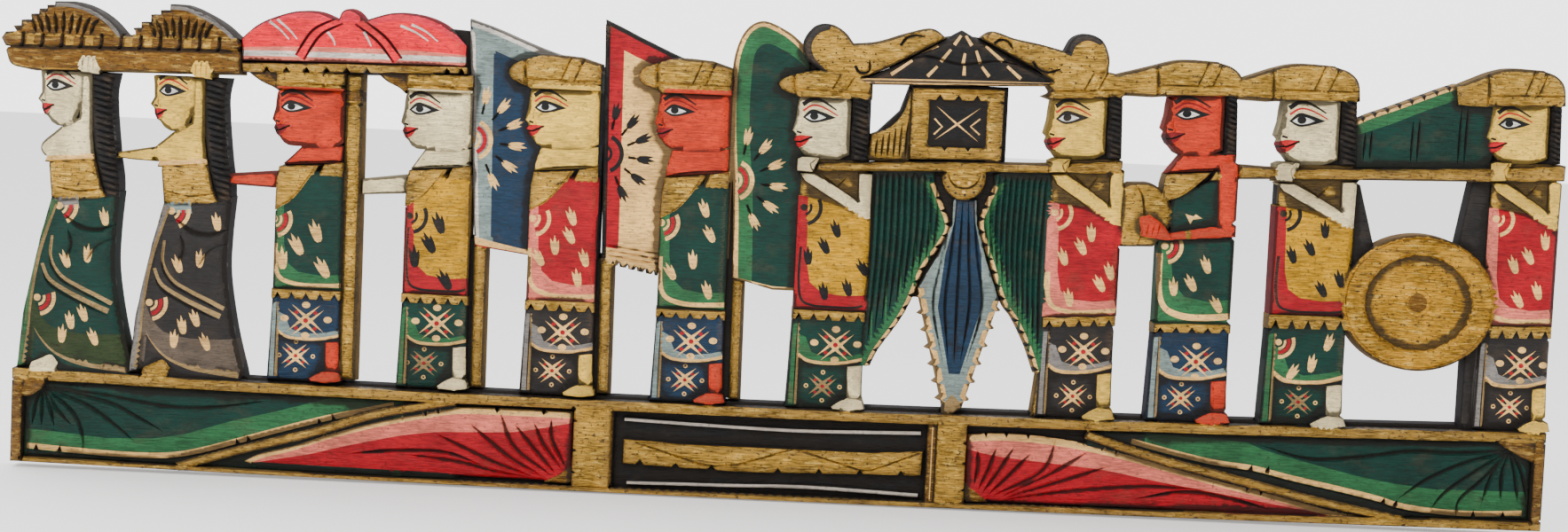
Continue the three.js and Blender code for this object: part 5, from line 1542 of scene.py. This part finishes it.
# Near black of soot, also used as the painted shade in the hollows
SOOT_AND_SHADE = (0.012, 0.009, 0.007, 1)
SAWN_SHADE = (0.012, 0.010, 0.010, 1)
OPEN_PORE = (0.045, 0.026, 0.014, 1)
BACK_STAIN = (0.07, 0.045, 0.028, 1)


class Socket:
    """A shader value. Expressions on it add the Math nodes they need."""

    def __init__(self, nodes, output):
        self.nodes = nodes
        self.output = output

    def combine(self, operation, *others):
        return self.nodes.node("ShaderNodeMath", {"operation": operation}, dict(enumerate((self, *others))))

    def __add__(self, other):
        return self.combine("ADD", other)

    __radd__ = __add__

    def __mul__(self, other):
        return self.combine("MULTIPLY", other)

    __rmul__ = __mul__

    def __sub__(self, other):
        return self.combine("SUBTRACT", other)

    def __rsub__(self, other):
        return self.nodes.node("ShaderNodeMath", {"operation": "SUBTRACT"}, {0: other, 1: self})

    def between(self, low, high, bottom=0.0, top=1.0):
        """The bottom value at low and the top value at high, smooth in between."""
        sockets = {"Value": self, "From Min": low, "From Max": high, "To Min": bottom, "To Max": top}
        return self.nodes.node("ShaderNodeMapRange", {"interpolation_type": "SMOOTHSTEP"}, sockets, "Result")

    def limit(self):
        """The value kept from 0 to 1."""
        return self.combine("MAXIMUM", 0.0).combine("MINIMUM", 1.0)


class Nodes:
    """A node tree that takes every node through one method."""

    def __init__(self, tree):
        self.tree = tree

    def node(self, kind, settings=None, sockets=None, output=0):
        made = self.tree.nodes.new(kind)
        for setting, value in (settings or {}).items():
            setattr(made, setting, value)
        for socket, value in (sockets or {}).items():
            self.feed(made.inputs[socket], value)
        return Socket(self, made.outputs[output])

    def feed(self, socket, value):
        if isinstance(value, Socket):
            self.tree.links.new(value.output, socket)
        else:
            socket.default_value = value


class Material(Nodes):
    """A node material that starts from one Principled shader."""

    def __init__(self, name, **constants):
        self.data = bpy.data.materials.new(name)
        self.data.use_nodes = True
        super().__init__(self.data.node_tree)
        self.shader = self.tree.nodes["Principled BSDF"]
        for socket, value in constants.items():
            self.shader.inputs[socket.replace("_", " ")].default_value = value

    def attribute(self, name, output="Fac"):
        return self.node("ShaderNodeAttribute", {"attribute_name": name}, output=output)

    def place(self, scale):
        """The place on the object, in millimetres, stretched by the scale."""
        where = self.node("ShaderNodeTexCoord", output="Object")
        stretch = tuple(PER_METRE * s for s in scale)
        return self.node("ShaderNodeVectorMath", {"operation": "MULTIPLY"}, {0: where, 1: stretch})

    def noise(self, scale, detail=4.0, roughness=0.55, distortion=0.0):
        """Noise whose patches are about 1 / scale millimetres, from 0 to 1."""
        sockets = {"Vector": self.place(scale), "Scale": 1.0, "Detail": detail, "Roughness": roughness}
        return self.node("ShaderNodeTexNoise", {}, {**sockets, "Distortion": distortion})

    def mix(self, share, a, b, blend="MIX"):
        settings = {"data_type": "RGBA", "blend_type": blend, "clamp_factor": True}
        return self.node("ShaderNodeMix", settings, {0: share, 6: a, 7: b}, 2)

    def tint(self, colour, factor):
        """The colour made darker or lighter by a factor."""
        grey = self.node("ShaderNodeCombineColor", {}, {0: factor, 1: factor, 2: factor})
        return self.mix(1.0, colour, grey, "MULTIPLY")

    def bump(self, height, distance, strength=1.0, normal=None):
        sockets = {"Strength": strength, "Distance": distance, "Height": height}
        if normal is not None:
            sockets["Normal"] = normal
        return self.node("ShaderNodeBump", {}, sockets)

    def finish(self, **sockets):
        for socket, value in sockets.items():
            self.feed(self.shader.inputs[socket.replace("_", " ")], value)
        return self.data


def painted_carving(shade_and_grime, wear):
    """Old paint and gold leaf over carved wood: grain, stains, soot and painted shade in the hollows, painted
    highlights on the leaf and worn ridges.
    """
    m = Material("painted_carving", IOR=1.46, Specular_IOR_Level=0.25)
    paint = m.attribute("paint", "Color")
    gilt = m.attribute("gilt")
    hollow = m.attribute("hollow")
    grain = m.noise((0.022, 0.8, 0.85), 5, 0.6, 0.6)
    fine = m.noise((0.14, 1.3, 1.5), 3, 0.6)
    cloud = m.noise((0.035, 0.05, 0.045), 4, 0.6).between(0.30, 0.70)
    speck = m.noise((0.40, 0.5, 0.55), 3, 0.62)
    worked = m.noise((0.05, 0.15, 0.17), 3, 0.5)
    strand = fine.between(0.32, 0.68)
    streak = grain.between(0.52, 0.68)
    speckle = speck.between(0.57, 0.67)
    # Painted highlights: bright flecks over the leaf stand for glints of light on the gold
    painted_glint = m.noise((0.10, 0.42, 0.46), 4, 0.65).between(0.52, 0.68)
    # Painted shade: the hollows and the ground close under raised forms are darkened to stand for the shade
    # that falls in them
    crevice_shade = (0 - hollow).between(0.06, 0.70)
    # To the painted shade come specks and streaks of soot
    dirt_and_shade = crevice_shade * (0.75 + cloud * 0.35) + (0 - hollow).between(0.0, 0.5) * 0.25
    dirt_and_shade = (dirt_and_shade + cloud * speckle * 0.45 + streak * 0.20 + speckle * 0.16).limit() * shade_and_grime
    rubbed = (hollow.between(0.35, 1.5) * strand + speckle * 0.25 * strand).limit() * wear
    stain = m.noise((0.06, 0.09, 0.08), 5, 0.65).between(0.52, 0.72) * 0.24

    tone = m.mix(stain, m.tint(paint, 0.46 + cloud * 0.42 + strand * 0.52), OLD_VARNISH)
    leaf = m.tint(paint, 0.12 + strand * 0.92 + cloud * 0.58)
    # The leaf takes the painted highlight colour at the flecks
    leaf = m.mix(painted_glint * 0.5, leaf, PAINTED_GLINT_COLOUR)
    leaf = m.mix((streak * 0.45 + speckle * 0.75).limit(), leaf, LOST_LEAF)
    base = m.mix(gilt, tone, leaf)
    base = m.mix(rubbed, base, RUBBED_WOOD)
    # Soot and painted shade darken the colour in the hollows
    base = m.mix(dirt_and_shade, base, SOOT_AND_SHADE)

    bare = (rubbed + dirt_and_shade).limit()
    metal = gilt * (1 - bare) * (1 - (streak * 0.5 + speckle * 0.5).limit()) * 0.85
    rough = 0.38 + strand * 0.16 + bare * 0.30 - gilt * (0.08 + painted_glint * 0.12)
    wood = m.bump(grain, 0.0008, 0.9, m.bump(worked, 0.0022, 0.8))
    surface = m.bump(fine + speck * 0.7, 0.0006, 0.9, wood)
    return m.finish(Base_Color=base, Metallic=metal, Roughness=rough, Normal=surface)


def cut_side():
    """The sawn side walls, painted dark and matt."""
    m = Material("cut_side", IOR=1.4, Specular_IOR_Level=0.12)
    paint = m.attribute("paint", "Color")
    cloud = m.noise((0.06, 0.09, 0.08), 4, 0.6).between(0.32, 0.68)
    saw = m.noise((0.9, 0.08, 0.9), 3, 0.6)
    base = m.mix(cloud * 0.5, m.tint(paint, 0.6 + saw * 0.6), SAWN_SHADE)
    return m.finish(Base_Color=base, Roughness=0.82 + saw * 0.12, Normal=m.bump(saw, 0.0003, 0.6))


def bare_wood(colour):
    """The plain sawn back of the plank."""
    m = Material("bare_wood", IOR=1.45, Specular_IOR_Level=0.35)
    grain = m.noise((0.012, 0.3, 0.32), 6, 0.62, 1.2)
    pores = m.noise((0.06, 1.4, 1.5), 3, 0.6)
    stain = m.noise((0.012, 0.02, 0.016), 3, 0.6)
    light = m.tint((*colour, 1), 0.72 + grain * 0.7)
    base = m.mix(pores.between(0.52, 0.74) * 0.6, light, OPEN_PORE)
    base = m.mix(stain.between(0.5, 0.75) * 0.45, base, BACK_STAIN)
    return m.finish(Base_Color=base, Roughness=0.62 + pores * 0.2, Normal=m.bump(grain * 0.7 + pores * 0.4,
        0.0005, 0.7))


def floor_finish(colour):
    m = Material("studio_floor", Roughness=0.75, Specular_IOR_Level=0.2, Emission_Strength=0.35,
        Emission_Color=(1, 1, 1, 1))
    cloud = m.noise((0.004, 0.004, 0.004), 2, 0.5)
    return m.finish(Base_Color=m.tint((*colour, 1), 0.985 + cloud * 0.03))


# The add-on

def colour(name, description, default):
    return bpy.props.FloatVectorProperty(name=name, description=description, default=default,
                                         subtype="COLOR_GAMMA", size=3, min=0, max=1)


def length(name, description, default, low, high):
    return bpy.props.FloatProperty(name=name, description=description, default=default, min=low, max=high,
                                   unit="LENGTH", precision=5)


def factor(name, description, default, low=0, high=1):
    return bpy.props.FloatProperty(name=name, description=description, default=default, min=low, max=high,
                                   subtype="FACTOR")


GILT = {"bright_gold": 1.0, "gold": 1.0, "old_gold": 0.85, "bronze": 0.75, "ochre": 0.45}


class CarvedPanelPaints(bpy.types.PropertyGroup):
    """Colours of the paint and the gold leaf."""

    bright_gold: colour("Burnished leaf", "Gong", (0.72, 0.53, 0.17))
    gold: colour("Gold leaf", "Frame, caps, sashes and poles", (0.698, 0.539, 0.225))
    old_gold: colour("Worn leaf", "Blocks, corner pieces and the umbrella's post", (0.463, 0.325, 0.134))
    black: colour("Black", "Roof, hair and outlines", (0.066, 0.065, 0.068))
    charcoal: colour("Charcoal", "Dark skirts and the ledge", (0.148, 0.137, 0.132))
    seam: colour("Seam", "Notches and the ground between forms", (0.09, 0.07, 0.05))
    side: colour("Cut side", "Side walls of the carving", (0.15, 0.14, 0.15))
    green: colour("Green", "Green cloth", (0.012, 0.194, 0.157))
    light_green: colour("Light green", "Borders of the green cloth", (0.158, 0.390, 0.230))
    red: colour("Red", "Red cloth", (0.653, 0.020, 0.099))
    canopy_red: colour("Canopy red", "Lower part of the umbrella", (0.955, 0.037, 0.153))
    # Painted highlight: a lighter red on the tops of the umbrella's domes, where the light falls
    canopy_pink: colour("Canopy pink", "Upper part of the umbrella", (0.955, 0.101, 0.243))
    pink: colour("Pink", "Borders of the red cloth", (0.884, 0.452, 0.379))
    cream: colour("Cream", "Drawn ornament and hems", (0.955, 0.754, 0.445))
    tan: colour("Tan", "Dull strokes and hems", (0.60, 0.49, 0.31))
    white: colour("White", "White lines", (0.84, 0.80, 0.75))
    eye_white: colour("Eye white", "Whites of the eyes", (0.95, 0.93, 0.88))
    white_skin: colour("White skin", "Figures with white skin", (0.955, 0.877, 0.668))
    yellow_skin: colour("Yellow skin", "Figures with yellow skin", (0.955, 0.775, 0.311))
    red_skin: colour("Red skin", "Figures with red skin", (0.788, 0.206, 0.089))
    ochre: colour("Ochre", "Ochre cloth", (0.777, 0.572, 0.078))
    blue: colour("Blue", "Dark blue cloth", (0.077, 0.180, 0.269))
    light_blue: colour("Light blue", "Borders of the blue cloth", (0.493, 0.559, 0.541))
    grey: colour("Grey", "Borders of the charcoal cloth", (0.50, 0.48, 0.46))
    dark_red: colour("Dark red", "Ribs of the umbrella and lips on red skin", (0.50, 0.06, 0.09))
    olive: colour("Olive", "Foot of the first woman's skirt", (0.16, 0.22, 0.10))
    taupe: colour("Taupe", "Foot of the second woman's skirt", (0.37, 0.32, 0.27))
    bronze: colour("Bronze", "Tray, rope, domes and the gong's centre", (0.45, 0.31, 0.12))
    lip: colour("Lip", "Lips and the line over the eye", (0.78, 0.08, 0.12))
    wood: colour("Bare wood", "The plank's back", (0.42, 0.29, 0.19))


class CarvedPanelSizes(bpy.types.PropertyGroup):
    """How the carving is worked, how old it looks and how much shade is painted into its hollows."""

    wall: length("Side taper", "How far a side wall leans in over the depth of the carving",
                 0.00065, 0.0003, 0.002)
    step: length("Outline step", "Longest edge along an outline", 0.0038, 0.0015, 0.01)
    spacing: length("Surface step", "Distance between points on open surface", 0.0042, 0.002, 0.02)
    # Strength of the soot and of the painted shade in the hollows
    shade_and_grime: factor("Grime", "Dirt in the hollows", 0.85)
    wear: factor("Wear", "Bare wood on the ridges", 0.45)


class CarvedPanelStage(bpy.types.PropertyGroup):
    """The studio around the panel."""

    floor_colour: colour("Floor", "Colour of the studio floor", (0.95, 0.95, 0.95))
    light: factor("Light", "Strength of the studio lights", 1.0, 0.1, 4)


class CARVEDPANEL_OT_relief(bpy.types.Operator):
    """Carve the relief and paint it"""

    bl_idname = "carvedpanel.relief"
    bl_label = "Carved relief"

    def execute(self, context):
        sizes = context.scene.carved_panel_sizes
        paints = context.scene.carved_panel_paints
        colours = {name: daylight(getattr(paints, name)) for name in CarvedPanelPaints.__annotations__}
        mesh = build_relief_mesh(sizes.wall / MM, sizes.step / MM, sizes.spacing / MM, colours)
        mesh.materials.append(painted_carving(sizes.shade_and_grime, sizes.wear))
        mesh.materials.append(bare_wood(colours["wood"]))
        mesh.materials.append(cut_side())
        relief = bpy.data.objects.new("carved_relief", mesh)
        context.scene.collection.objects.link(relief)
        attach(relief, "root")
        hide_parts("carved_panel")
        return {"FINISHED"}


# The camera stands in front of the panel, a little above its middle, looks slightly down and is turned a
# little about its line of sight.

CAMERA_PLACE = (-0.00103, -1.5965, 0.22499)
CAMERA_PITCH = math.radians(3.8)
CAMERA_ROLL = math.radians(2.653)
CAMERA_LENS = 57.195
SENSOR_WIDTH = 36.0

# The room's glow in front of the panel and behind it, and where along the depth it changes
FRONT_GLOW = 0.06
REAR_GLOW = 3.2
GLOW_STARTS = -0.35
GLOW_ENDS = 0.45

FLOOR_GAP = 0.0002
FLOOR_REACH = 12.0

# Name, place, what it faces, width, height, watts
LIGHTS = [
    ("key_light", (-0.9, -1.6, 1.5), (0, 0, 0.1), 1.2, 1.2, 46),
    ("fill_light", (1.4, -1.9, 0.9), (0, 0, 0.1), 1.4, 1.0, 9),
    ("top_light", (0.1, -0.45, 1.9), (0, 0, 0.1), 1.8, 0.8, 10),
]


class CARVEDPANEL_OT_stage(bpy.types.Operator):
    """Lay the floor, set the lights and place the camera"""

    bl_idname = "carvedpanel.stage"
    bl_label = "Studio stage"

    def execute(self, context):
        settings = context.scene.carved_panel_stage
        self.lay_floor(context, settings)
        self.light_room(context, settings)
        self.set_lights(context, settings)
        self.place_camera(context)
        return {"FINISHED"}

    def lay_floor(self, context, settings):
        height = CAD_BOX[0][2] - FLOOR_GAP
        corners = [(x, y, height) for x, y in box(-FLOOR_REACH, -FLOOR_REACH, FLOOR_REACH, FLOOR_REACH)]
        mesh = bpy.data.meshes.new("studio_floor")
        mesh.from_pydata(corners, [], [(0, 1, 2, 3)])
        mesh.materials.append(floor_finish(daylight(settings.floor_colour)))
        floor = bpy.data.objects.new("studio_floor", mesh)
        context.scene.collection.objects.link(floor)

    def light_room(self, context, settings):
        world = bpy.data.worlds.new("studio_world")
        world.use_nodes = True
        nodes = Nodes(world.node_tree)
        toward = nodes.node("ShaderNodeTexCoord", output="Generated")
        depth = nodes.node("ShaderNodeSeparateXYZ", {}, {0: toward}, "Y")
        glow = depth.between(GLOW_STARTS, GLOW_ENDS, FRONT_GLOW * settings.light, REAR_GLOW * settings.light)
        background = world.node_tree.nodes["Background"].inputs
        nodes.feed(background["Color"], (1.0, 1.0, 1.0, 1))
        nodes.feed(background["Strength"], glow)
        context.scene.world = world

    def set_lights(self, context, settings):
        for name, place, aim, width, height, watts in LIGHTS:
            data = bpy.data.lights.new(name, "AREA")
            data.shape = "RECTANGLE"
            data.size = width
            data.size_y = height
            data.energy = watts * settings.light
            light = bpy.data.objects.new(name, data)
            light.location = place
            light.rotation_euler = (Vector(aim) - Vector(place)).to_track_quat("-Z", "Y").to_euler()
            context.scene.collection.objects.link(light)

    def place_camera(self, context):
        ahead = Vector((0, math.cos(CAMERA_PITCH), -math.sin(CAMERA_PITCH)))
        level_up = Vector((0, math.sin(CAMERA_PITCH), math.cos(CAMERA_PITCH)))
        right = math.cos(CAMERA_ROLL) * Vector((1, 0, 0)) + math.sin(CAMERA_ROLL) * level_up
        up = -math.sin(CAMERA_ROLL) * Vector((1, 0, 0)) + math.cos(CAMERA_ROLL) * level_up
        data = bpy.data.cameras.new("photo_camera")
        data.lens = CAMERA_LENS
        data.sensor_width = SENSOR_WIDTH
        data.sensor_fit = "HORIZONTAL"
        camera = bpy.data.objects.new("photo_camera", data)
        turn = Matrix((right, up, -ahead)).transposed().to_4x4()
        camera.matrix_world = Matrix.Translation(CAMERA_PLACE) @ turn
        context.scene.collection.objects.link(camera)
        context.scene.camera = camera


class CARVEDPANEL_PT_sidebar(bpy.types.Panel):
    """Sizes, colours and pieces of the carved wall panel"""

    bl_idname = "CARVEDPANEL_PT_sidebar"
    bl_label = "Carved wall panel"
    bl_space_type = "VIEW_3D"
    bl_region_type = "UI"
    bl_category = "Wall Panel"

    def draw(self, context):
        layout = self.layout
        scene = context.scene
        for settings in (scene.carved_panel_sizes, scene.carved_panel_paints, scene.carved_panel_stage):
            box = layout.box()
            for name in type(settings).__annotations__:
                box.prop(settings, name)
        for operator in (CARVEDPANEL_OT_relief, CARVEDPANEL_OT_stage):
            layout.operator(operator.bl_idname)


CLASSES = (CarvedPanelPaints, CarvedPanelSizes, CarvedPanelStage, CARVEDPANEL_OT_relief, CARVEDPANEL_OT_stage,
           CARVEDPANEL_PT_sidebar)


def register():
    for cls in CLASSES:
        bpy.utils.register_class(cls)
    bpy.types.Scene.carved_panel_paints = bpy.props.PointerProperty(type=CarvedPanelPaints)
    bpy.types.Scene.carved_panel_sizes = bpy.props.PointerProperty(type=CarvedPanelSizes)
    bpy.types.Scene.carved_panel_stage = bpy.props.PointerProperty(type=CarvedPanelStage)


def unregister():
    del bpy.types.Scene.carved_panel_stage
    del bpy.types.Scene.carved_panel_sizes
    del bpy.types.Scene.carved_panel_paints
    for cls in reversed(CLASSES):
        bpy.utils.unregister_class(cls)


def main():
    register()
    bpy.ops.carvedpanel.stage()
    bpy.ops.carvedpanel.relief()


if __name__ == "__main__":
    main()
